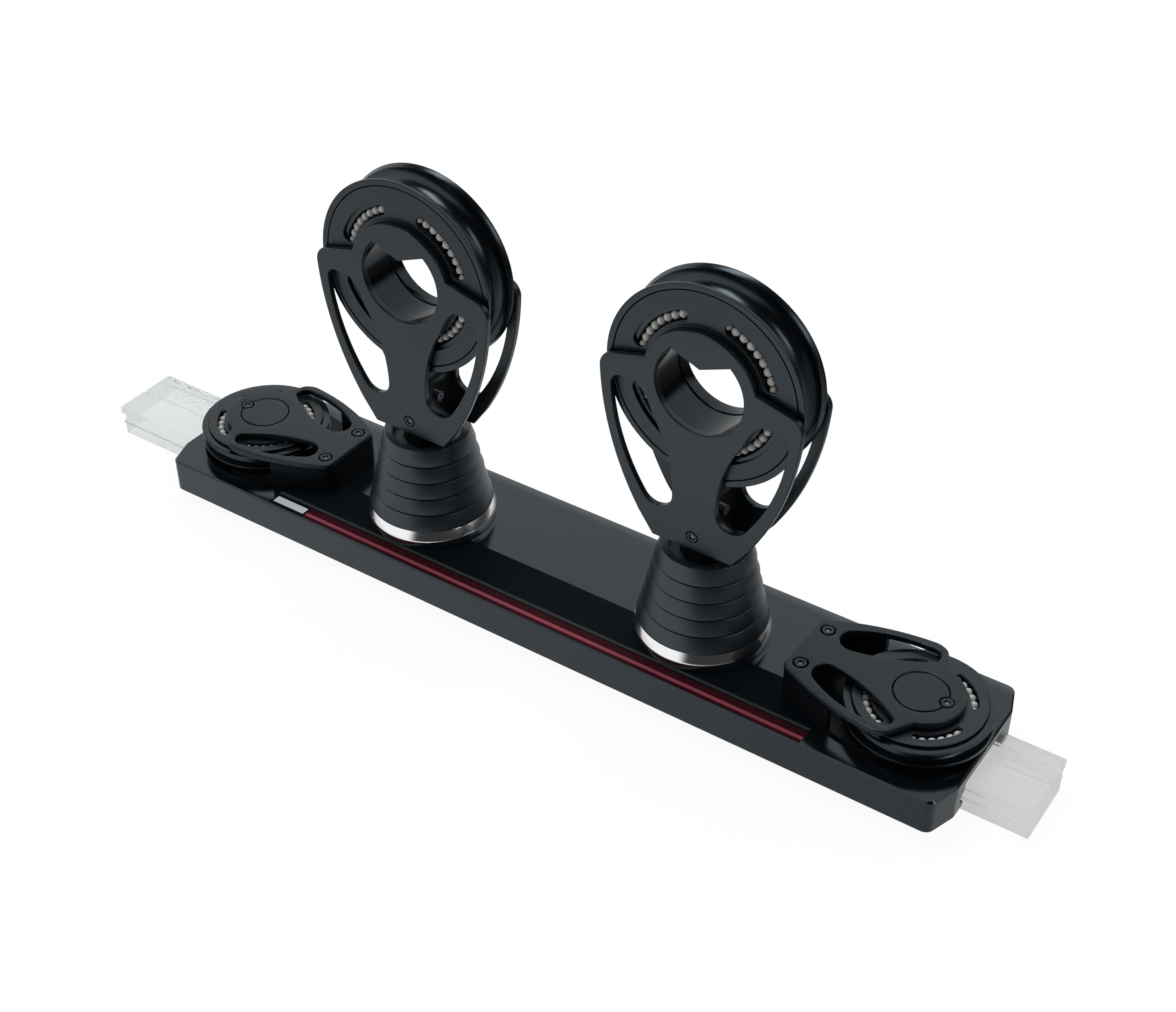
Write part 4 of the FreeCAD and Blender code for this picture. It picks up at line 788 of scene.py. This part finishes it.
open_holes = [teardrop(1), teardrop(-1), round_hole(0, FOOT_SCREW, FOOT_HOLE, steps=32)]
near_holes = open_holes + [heart(HUB_MOUTH, TAB_TIP)]
far_holes = open_holes + [round_hole(0, 0, COLLAR_HOLE, steps=128)]
for side, block_x in BLOCK_X.items():
    plate(
        f"{side}_near_cheek_plate", cheek_outline, near_holes, CHEEK_BACK, CHEEK_FACE, CHEEK_EASE,
        upright(block_x, -1), f"{side}_block", cheek_finish, "black_anodised",
        f"{side}_near_cheek", f"{side}_hub_tube",
    )
    plate(
        f"{side}_far_cheek_plate", cheek_outline, far_holes, CHEEK_BACK, CHEEK_FACE, CHEEK_EASE,
        upright(block_x, 1), f"{side}_block", cheek_finish, "black_anodised", f"{side}_far_cheek",
    )

dark_screw = finish("blackened_screw", (0.006, 0.0075, 0.009), 0.30, Specular_Tint=COOL)
feed(dark_screw, "Roughness", grain(dark_screw, 1200.0, detail=2.0) * 0.2 + 0.2)
# The socket floors get a paler, part-metal finish: a glint painted into each socket.
socket_glint_coat = finish("socket_floor_glint", (0.16, 0.17, 0.18), 0.35, metal=0.6)
feed(socket_glint_coat, "Roughness", grain(socket_glint_coat, 1200.0, detail=2.0) * 0.2 + 0.25)

HEAD_HEIGHT = 1.0
SHANK_RADIUS = 1.1
SOCKET_MOUTH = 1.1
SOCKET_ROOT = 1.0
SOCKET_DEPTH = 0.75
SCREW_EASE = 0.22
GLINT_RADIUS = 0.75
GLINT_CROWN = 0.42
GLINT_RIM = 0.50
GLINT_BACK = 0.72
CHEEK_HEAD = 2.1
CHEEK_SHANK = 6.5


def socket_screws(name, heads, axis, facing, radius, shank, body, slot, node_name):
    """Socket screws with their heads' faces at the given points: a rounded head with a socket
    in it and a shank, turned in one, and in each socket a paler, part-metal floor painted as a glint."""
    head = [
        (0, -SOCKET_DEPTH), (SOCKET_ROOT, -SOCKET_DEPTH), (SOCKET_MOUTH, 0), (radius, 0),
        (radius, -HEAD_HEIGHT), (SHANK_RADIUS, -HEAD_HEIGHT), (SHANK_RADIUS, -HEAD_HEIGHT - shank),
        (0, -HEAD_HEIGHT - shank),
    ]
    profile = softened(head, SCREW_EASE, closed=False) * (1, facing)
    turned(name, profile, heads, axis, body, dark_screw, slot, node_name, steps=40, closed=False)
    glint_floor = [(0, -GLINT_CROWN), (GLINT_RADIUS, -GLINT_RIM), (GLINT_RADIUS, -GLINT_BACK), (0, -GLINT_BACK)]
    glint_floor = np.array(glint_floor) * (1, facing)
    turned(f"{name}_floors", glint_floor, heads, axis, body, socket_glint_coat, slot, node_name, steps=24, closed=False)


for side, block_x in BLOCK_X.items():
    for name, facing in (("near", -1), ("far", 1)):
        socket_screws(
            f"{side}_{name}_foot_screw", (block_x, facing * CHEEK_FACE, HUB_Z + FOOT_SCREW), "Y", facing,
            CHEEK_HEAD, CHEEK_SHANK, f"{side}_block", "black_screw", f"{side}_cheek_screws",
        )


# The hub is a hollow aluminium axle, open right through for a strop. Its flange is flush in the
# near cheek with no seam to see, and a threaded collar closes it on the far side.
AXLE_RADIUS = 18.5
AXLE_BORE = 17.15
AXLE_STEP = 0.35
AXLE_END = 5.0
AXLE_EASE = 0.05
RELIEF_BORE = 17.9
COLLAR_START = 5.5
COLLAR_FLANGE = 9.4
COLLAR_RADIUS = 19.7
COLLAR_EASE = 0.35

bored = finish("bored_hub", (0.003, 0.004, 0.005), 0.10, Specular_IOR_Level=0.36, Specular_Tint=COOL)
tool_rings = grain(bored, 1600.0, detail=1.0, stretch=(8, 1, 8))
feed(bored, "Roughness", tool_rings * 0.08 + 0.06)
relief(bored, tool_rings, 0.000006)

thread_relief = [
    (RELIEF_BORE, AXLE_END), (AXLE_RADIUS, AXLE_END), (AXLE_RADIUS, COLLAR_START),
    (RELIEF_BORE, COLLAR_START),
]
collar_ring = [
    (HUB_MOUTH, COLLAR_START), (AXLE_RADIUS, COLLAR_START), (AXLE_RADIUS, COLLAR_FLANGE),
    (COLLAR_RADIUS, COLLAR_FLANGE), (COLLAR_RADIUS, CHEEK_FACE), (HUB_MOUTH, CHEEK_FACE),
]
for side, block_x in BLOCK_X.items():
    hub = (block_x, 0, HUB_Z)
    plate(
        f"{side}_hub_axle", round_hole(0, 0, AXLE_RADIUS, steps=128),
        [heart(AXLE_BORE, TAB_TIP + AXLE_STEP)], -AXLE_END, CHEEK_BACK, AXLE_EASE, upright(block_x, -1),
        f"{side}_block", bored, "black_anodised", f"{side}_hub_tube",
    )
    turned(
        f"{side}_hub_groove", thread_relief, hub, "Y",
        f"{side}_block", bored, "black_anodised", f"{side}_hub_tube",
    )
    turned(
        f"{side}_hub_collar", softened(collar_ring, COLLAR_EASE), hub, "Y",
        f"{side}_block", bored, "black_anodised", f"{side}_hub_nut",
    )
    wear(moulded, f"{side}_bush")


# The sheave is turned from aluminium bar and black anodised: a round rope groove, polished by
# the lathe, rolled lips, and a deep race in each side for the side-thrust balls.
SHEAVE_BORE = 20.55
SHEAVE_FACE = 6.2
SHEAVE_RADIUS = 37.5
RACE_IN = 23.6
RACE_OUT = 27.2
RACE_FLOOR = 3.0
LIP_IN = 35.1
LIP_FACE = 7.5
LIP_EDGE = 6.9
LIP_EASE = 0.45
ROPE_RADIUS = 5.5
ROPE_CENTRE = 36.5
ROPE_STEPS = 25
TURNED_BLACK = (0.0030, 0.0037, 0.0048)

sheave_finish = finish(
    "turned_sheave", TURNED_BLACK, 0.16, Specular_IOR_Level=0.6, Specular_Tint=COOL,
)
turning = grain(sheave_finish, 1300.0, detail=1.0, stretch=(12, 1, 12))
feed(sheave_finish, "Roughness", turning * 0.10 + 0.20)
relief(sheave_finish, turning, 0.000005)


def groove_arc(middle, radius, centre):
    """A half round rope groove: a half circle about its centre line, from its upper edge down."""
    angle = np.linspace(math.pi / 2, 3 * math.pi / 2, ROPE_STEPS)
    return np.stack([centre + radius * np.cos(angle), middle + radius * np.sin(angle)], 1)


half_side = [
    (SHEAVE_BORE, SHEAVE_FACE), (RACE_IN, SHEAVE_FACE), (RACE_IN, RACE_FLOOR), (RACE_OUT, RACE_FLOOR),
    (RACE_OUT, SHEAVE_FACE), (LIP_IN, SHEAVE_FACE), (LIP_IN, LIP_FACE), (SHEAVE_RADIUS, LIP_FACE),
    (SHEAVE_RADIUS, LIP_EDGE),
]
near_side = softened(half_side, LIP_EASE, closed=False)
far_side = near_side[::-1] * (1, -1)
sheave_profile = np.concatenate([near_side, groove_arc(0.0, ROPE_RADIUS, ROPE_CENTRE), far_side])
for side, block_x in BLOCK_X.items():
    turned(
        f"{side}_rope_wheel", sheave_profile, (block_x, 0, HUB_Z), "Y",
        f"{side}_rope_sheave", sheave_finish, "black_anodised", f"{side}_sheave", steps=240,
    )


# Each ball retainer is a thin black disc fixed behind its cheek. Four curved slots cut through it
# show the ring of pale side-thrust balls that rolls between it and the sheave.
SLOT_HALF = 23.5
SLOT_CIRCLE = 26.2
SLOT_WIDTH = 5.4
SIDE_BALL = 1.59
FINE_BALL = (10, 16)
SIDE_BALLS = 48
BALL_CIRCLE = 25.4
BALL_LEVEL = 4.7
DISC_RADIUS = 34.8
DISC_BORE = 18.55
DISC_BACK = 6.4
DISC_FACE = 7.4
DISC_EASE = 0.2
DISC_COLLAR_RADIUS = 22.8
DISC_COLLAR_ROOT = 7.35


def curved_slot(circle_radius, width, middle):
    """A slot along a circle, as a closed outline: its outer arc, a half-round end, its inner arc
    back and the other end."""
    low, high = math.radians(middle - SLOT_HALF), math.radians(middle + SLOT_HALF)
    outer, inner = circle_radius + width / 2, circle_radius - width / 2
    return bow([
        (outer * math.cos(low), outer * math.sin(low), outer),
        (outer * math.cos(high), outer * math.sin(high), "half"),
        (inner * math.cos(high), inner * math.sin(high), -inner),
        (inner * math.cos(low), inner * math.sin(low), "half"),
    ])


def four_slots(circle_radius, width):
    """One curved slot in the middle of each quarter."""
    return [curved_slot(circle_radius, width, 45 + 90 * quarter) for quarter in range(4)]


def ball_ring(radius, count, level):
    """The centres of balls evenly spaced round a circle, as a plate's own (u, v, height)."""
    turn = np.linspace(0, 2 * math.pi, count, endpoint=False)
    return np.stack([radius * np.cos(turn), radius * np.sin(turn), np.full(count, level)], 1)


disc_holes = four_slots(SLOT_CIRCLE, SLOT_WIDTH) + [round_hole(0, 0, DISC_BORE)]
disc_collar = np.array([
    (DISC_BORE, DISC_COLLAR_ROOT), (DISC_COLLAR_RADIUS, DISC_COLLAR_ROOT),
    (DISC_COLLAR_RADIUS, CHEEK_BACK), (DISC_BORE, CHEEK_BACK),
])
one_ring = ball_ring(BALL_CIRCLE, SIDE_BALLS, BALL_LEVEL)
for side, block_x in BLOCK_X.items():
    for name, facing in (("near", -1), ("far", 1)):
        plate(
            f"{side}_{name}_ball_disc", round_hole(0, 0, DISC_RADIUS, steps=200), disc_holes,
            DISC_BACK, DISC_FACE, DISC_EASE, upright(block_x, facing),
            f"{side}_block", moulded, "black_plastic", f"{side}_{name}_retainer",
        )
        turned(
            f"{side}_{name}_disc_collar", disc_collar * (1, facing), (block_x, 0, HUB_Z), "Y",
            f"{side}_block", moulded, "black_plastic", f"{side}_{name}_retainer",
        )
    both_rings = np.concatenate([upright(block_x, facing)(one_ring) for facing in (-1, 1)])
    balls(
        f"{side}_thrust_balls", both_rings, SIDE_BALL, FINE_BALL,
        f"{side}_block", pearl, "ball_plastic", f"{side}_side_balls",
    )


# A control block lies flat at each end of the car. A base plate, a curved spacer wall and a top
# plate are clamped by two screws at the inner corners, and a post through the hub joins them.
CONTROL_X = {"left": (-147.9, -1), "right": (147.9, 1)}
PLATE_LOW = 10.3
PLATE_TOP = 12.8
PLATE_EASE = 0.5
RING_ARC = 15.6
RING_X = 4.3
RING_Y = math.sqrt(RING_ARC**2 - RING_X**2)

back_edge = [
    (-45.9, 11.5, -4.0), (-43.8, 15.0, -95.0), (-6.9, 25.7, -7.7), (-0.9, 23.6),
    (RING_X, RING_Y, -RING_ARC),
]
control_outline = mirrored(back_edge, (1, -1))


def control_window(way):
    """One window of a control plate, seen from its hub: four arcs."""
    return bow([
        (-34.4, way * 13.9, -way * 46.0), (-7.2, way * 22.2, -way * 4.2),
        (-1.8, way * 17.0, -way * 62.0), (-29.9, way * 5.2, -way * 5.2),
    ])


def flat_on_car(hub_x, end):
    """Lays a plate flat on the car's top: u and v from the hub along and across the car, turned
    half round at the left end, so that the inner end is always towards the car's middle."""
    return lambda p: np.stack([hub_x + end * p[:, 0], end * p[:, 1], CAR_TOP + p[:, 2]], 1)


SCREW_SPOTS = [(-40.9, 10.1), (-40.9, -10.1)]
HUB_SCREW = 9.6
CAP_HOLE = 9.85
SINK = 2.75


def meeting(first, second):
    """Where a circle about the hub meets one about the hub screw: their common chord's x and y."""
    across = (first**2 - second**2 + HUB_SCREW**2) / (2 * HUB_SCREW)
    return across, math.sqrt(first**2 - across**2)


mouth_x, mouth_y = meeting(CAP_HOLE, SINK)
cap_hole = bow(
    [(mouth_x, mouth_y, CAP_HOLE), (-CAP_HOLE, 0, CAP_HOLE), (mouth_x, -mouth_y, SINK)], FINE_ARC_STEPS,
)
plate_holes = [control_window(1), control_window(-1), cap_hole]
plate_holes += [round_hole(u, v, SINK, steps=40) for u, v in SCREW_SPOTS]
control_finish = blasted_plate("anodised_control_plate", 0.46)
# The spacer and base wear a shaded copy of the plate's anodising, with little mirror, as painted shade
# under the top plate.
shaded_finish = blasted_plate("shaded_anodised_spacer", 0.12)
for side, (hub_x, end) in CONTROL_X.items():
    plate(
        f"{side}_top_plate", control_outline, plate_holes, PLATE_LOW, PLATE_TOP, PLATE_EASE,
        flat_on_car(hub_x, end), "car", control_finish, "black_anodised", f"{side}_control_plate",
    )
    wear(shaded_finish, f"{side}_control_spacer", f"{side}_control_base")
    wear(forged, f"{side}_control_post")
    wear(moulded, f"{side}_control_bush")


# The flat sheave is a smaller turned wheel with a rope groove and one race on top. Its disc with
# four slots shows a ring of small pale balls, as on the stand-up blocks.
FLAT_BORE = 13.55
FLAT_RADIUS = 26.0
FLAT_FACE = 8.5
FLAT_TOP = 8.8
FLAT_BOTTOM = 1.8
FLAT_RACE_IN = 16.6
FLAT_RACE_OUT = 20.2
FLAT_RACE_FLOOR = 5.2
FLAT_LIP_IN = 23.5
FLAT_LIP_EDGE = 8.3
FLAT_EASE = 0.3
LOW_LIP_IN = 25.2
LOW_LIP_EDGE = 3.5
LOW_LIP_EASE = 0.8
LINE_RADIUS = 2.25
LINE_CENTRE = 24.6
LINE_LEVEL = 5.75
SMALL_DISC = 23.1
SMALL_BORE = 12.25
SMALL_DISC_BACK = 8.7
SMALL_DISC_FACE = 9.8
SMALL_COLLAR_RADIUS = 14.9
SMALL_COLLAR_ROOT = 9.75
SMALL_CIRCLE = 18.4
SMALL_SLOT_WIDTH = 2.8
SMALL_BALLS = 35
SMALL_LEVEL = 7.0

flat_half = [
    (FLAT_BORE, FLAT_FACE), (FLAT_RACE_IN, FLAT_FACE), (FLAT_RACE_IN, FLAT_RACE_FLOOR),
    (FLAT_RACE_OUT, FLAT_RACE_FLOOR), (FLAT_RACE_OUT, FLAT_FACE), (FLAT_LIP_IN, FLAT_FACE),
    (FLAT_LIP_IN, FLAT_TOP), (FLAT_RADIUS, FLAT_TOP), (FLAT_RADIUS, FLAT_LIP_EDGE),
]
low_lip = [
    (LOW_LIP_IN, LOW_LIP_EDGE), (FLAT_RADIUS, LOW_LIP_EDGE), (FLAT_RADIUS, FLAT_BOTTOM),
    (FLAT_BORE, FLAT_BOTTOM),
]
flat_profile = np.concatenate([
    softened(flat_half, FLAT_EASE, closed=False), groove_arc(LINE_LEVEL, LINE_RADIUS, LINE_CENTRE),
    softened(low_lip, LOW_LIP_EASE, closed=False),
])
small_collar = [
    (SMALL_BORE, SMALL_COLLAR_ROOT), (SMALL_COLLAR_RADIUS, SMALL_COLLAR_ROOT),
    (SMALL_COLLAR_RADIUS, PLATE_LOW), (SMALL_BORE, PLATE_LOW),
]
small_holes = four_slots(SMALL_CIRCLE, SMALL_SLOT_WIDTH) + [round_hole(0, 0, SMALL_BORE)]
small_ring = ball_ring(SMALL_CIRCLE, SMALL_BALLS, SMALL_LEVEL)
for side, (hub_x, end) in CONTROL_X.items():
    hub = (hub_x, 0, CAR_TOP)
    turned(
        f"{side}_flat_wheel", flat_profile, hub, "Z", f"{side}_flat_sheave", sheave_finish,
        "black_anodised", f"{side}_control_sheave", steps=200,
    )
    plate(
        f"{side}_flat_ball_disc", round_hole(0, 0, SMALL_DISC, steps=160), small_holes,
        SMALL_DISC_BACK, SMALL_DISC_FACE, DISC_EASE, flat_on_car(hub_x, end),
        "car", moulded, "black_plastic", f"{side}_control_retainer",
    )
    turned(
        f"{side}_flat_disc_collar", small_collar, hub, "Z",
        "car", moulded, "black_plastic", f"{side}_control_retainer",
    )
small_centres = np.concatenate([flat_on_car(hub_x, 1)(small_ring) for hub_x, end in CONTROL_X.values()])
balls(
    "control_ball_rings", small_centres, SIDE_BALL, COARSE_BALL, "car", pearl, "ball_plastic",
    "control_balls",
)


# The cap is a round plug, flush in the top plate and notched for the hub screw beside it. All
# the screws are small black socket heads, sunk a little wider than their heads.
CAP = 9.45
CAP_EASE = 0.3
PLATE_HEAD = 2.2
PLATE_SHANK = 14.8
HUB_SHANK = 6.0

notch_x, notch_y = meeting(CAP, SINK)
cap_outline = bow([(notch_x, notch_y, CAP), (-CAP, 0, CAP), (notch_x, -notch_y, -SINK)], FINE_ARC_STEPS)
for side, (hub_x, end) in CONTROL_X.items():
    plate(
        f"{side}_hub_cap", cap_outline, [], PLATE_LOW, PLATE_TOP, CAP_EASE,
        flat_on_car(hub_x, end), "car", control_finish, "black_anodised", f"{side}_control_cap",
    )
    inner_heads = [(hub_x + end * u, v, CAR_TOP + PLATE_TOP) for u, v in SCREW_SPOTS]
    hub_head = (hub_x + end * HUB_SCREW, 0, CAR_TOP + PLATE_TOP)
    screws = ("plate_screws", inner_heads, PLATE_SHANK), ("hub_screw", hub_head, HUB_SHANK)
    for name, heads, shank in screws:
        socket_screws(
            f"{side}_{name}", heads, "Z", 1, PLATE_HEAD, shank, "car", "stainless", "control_screws",
        )
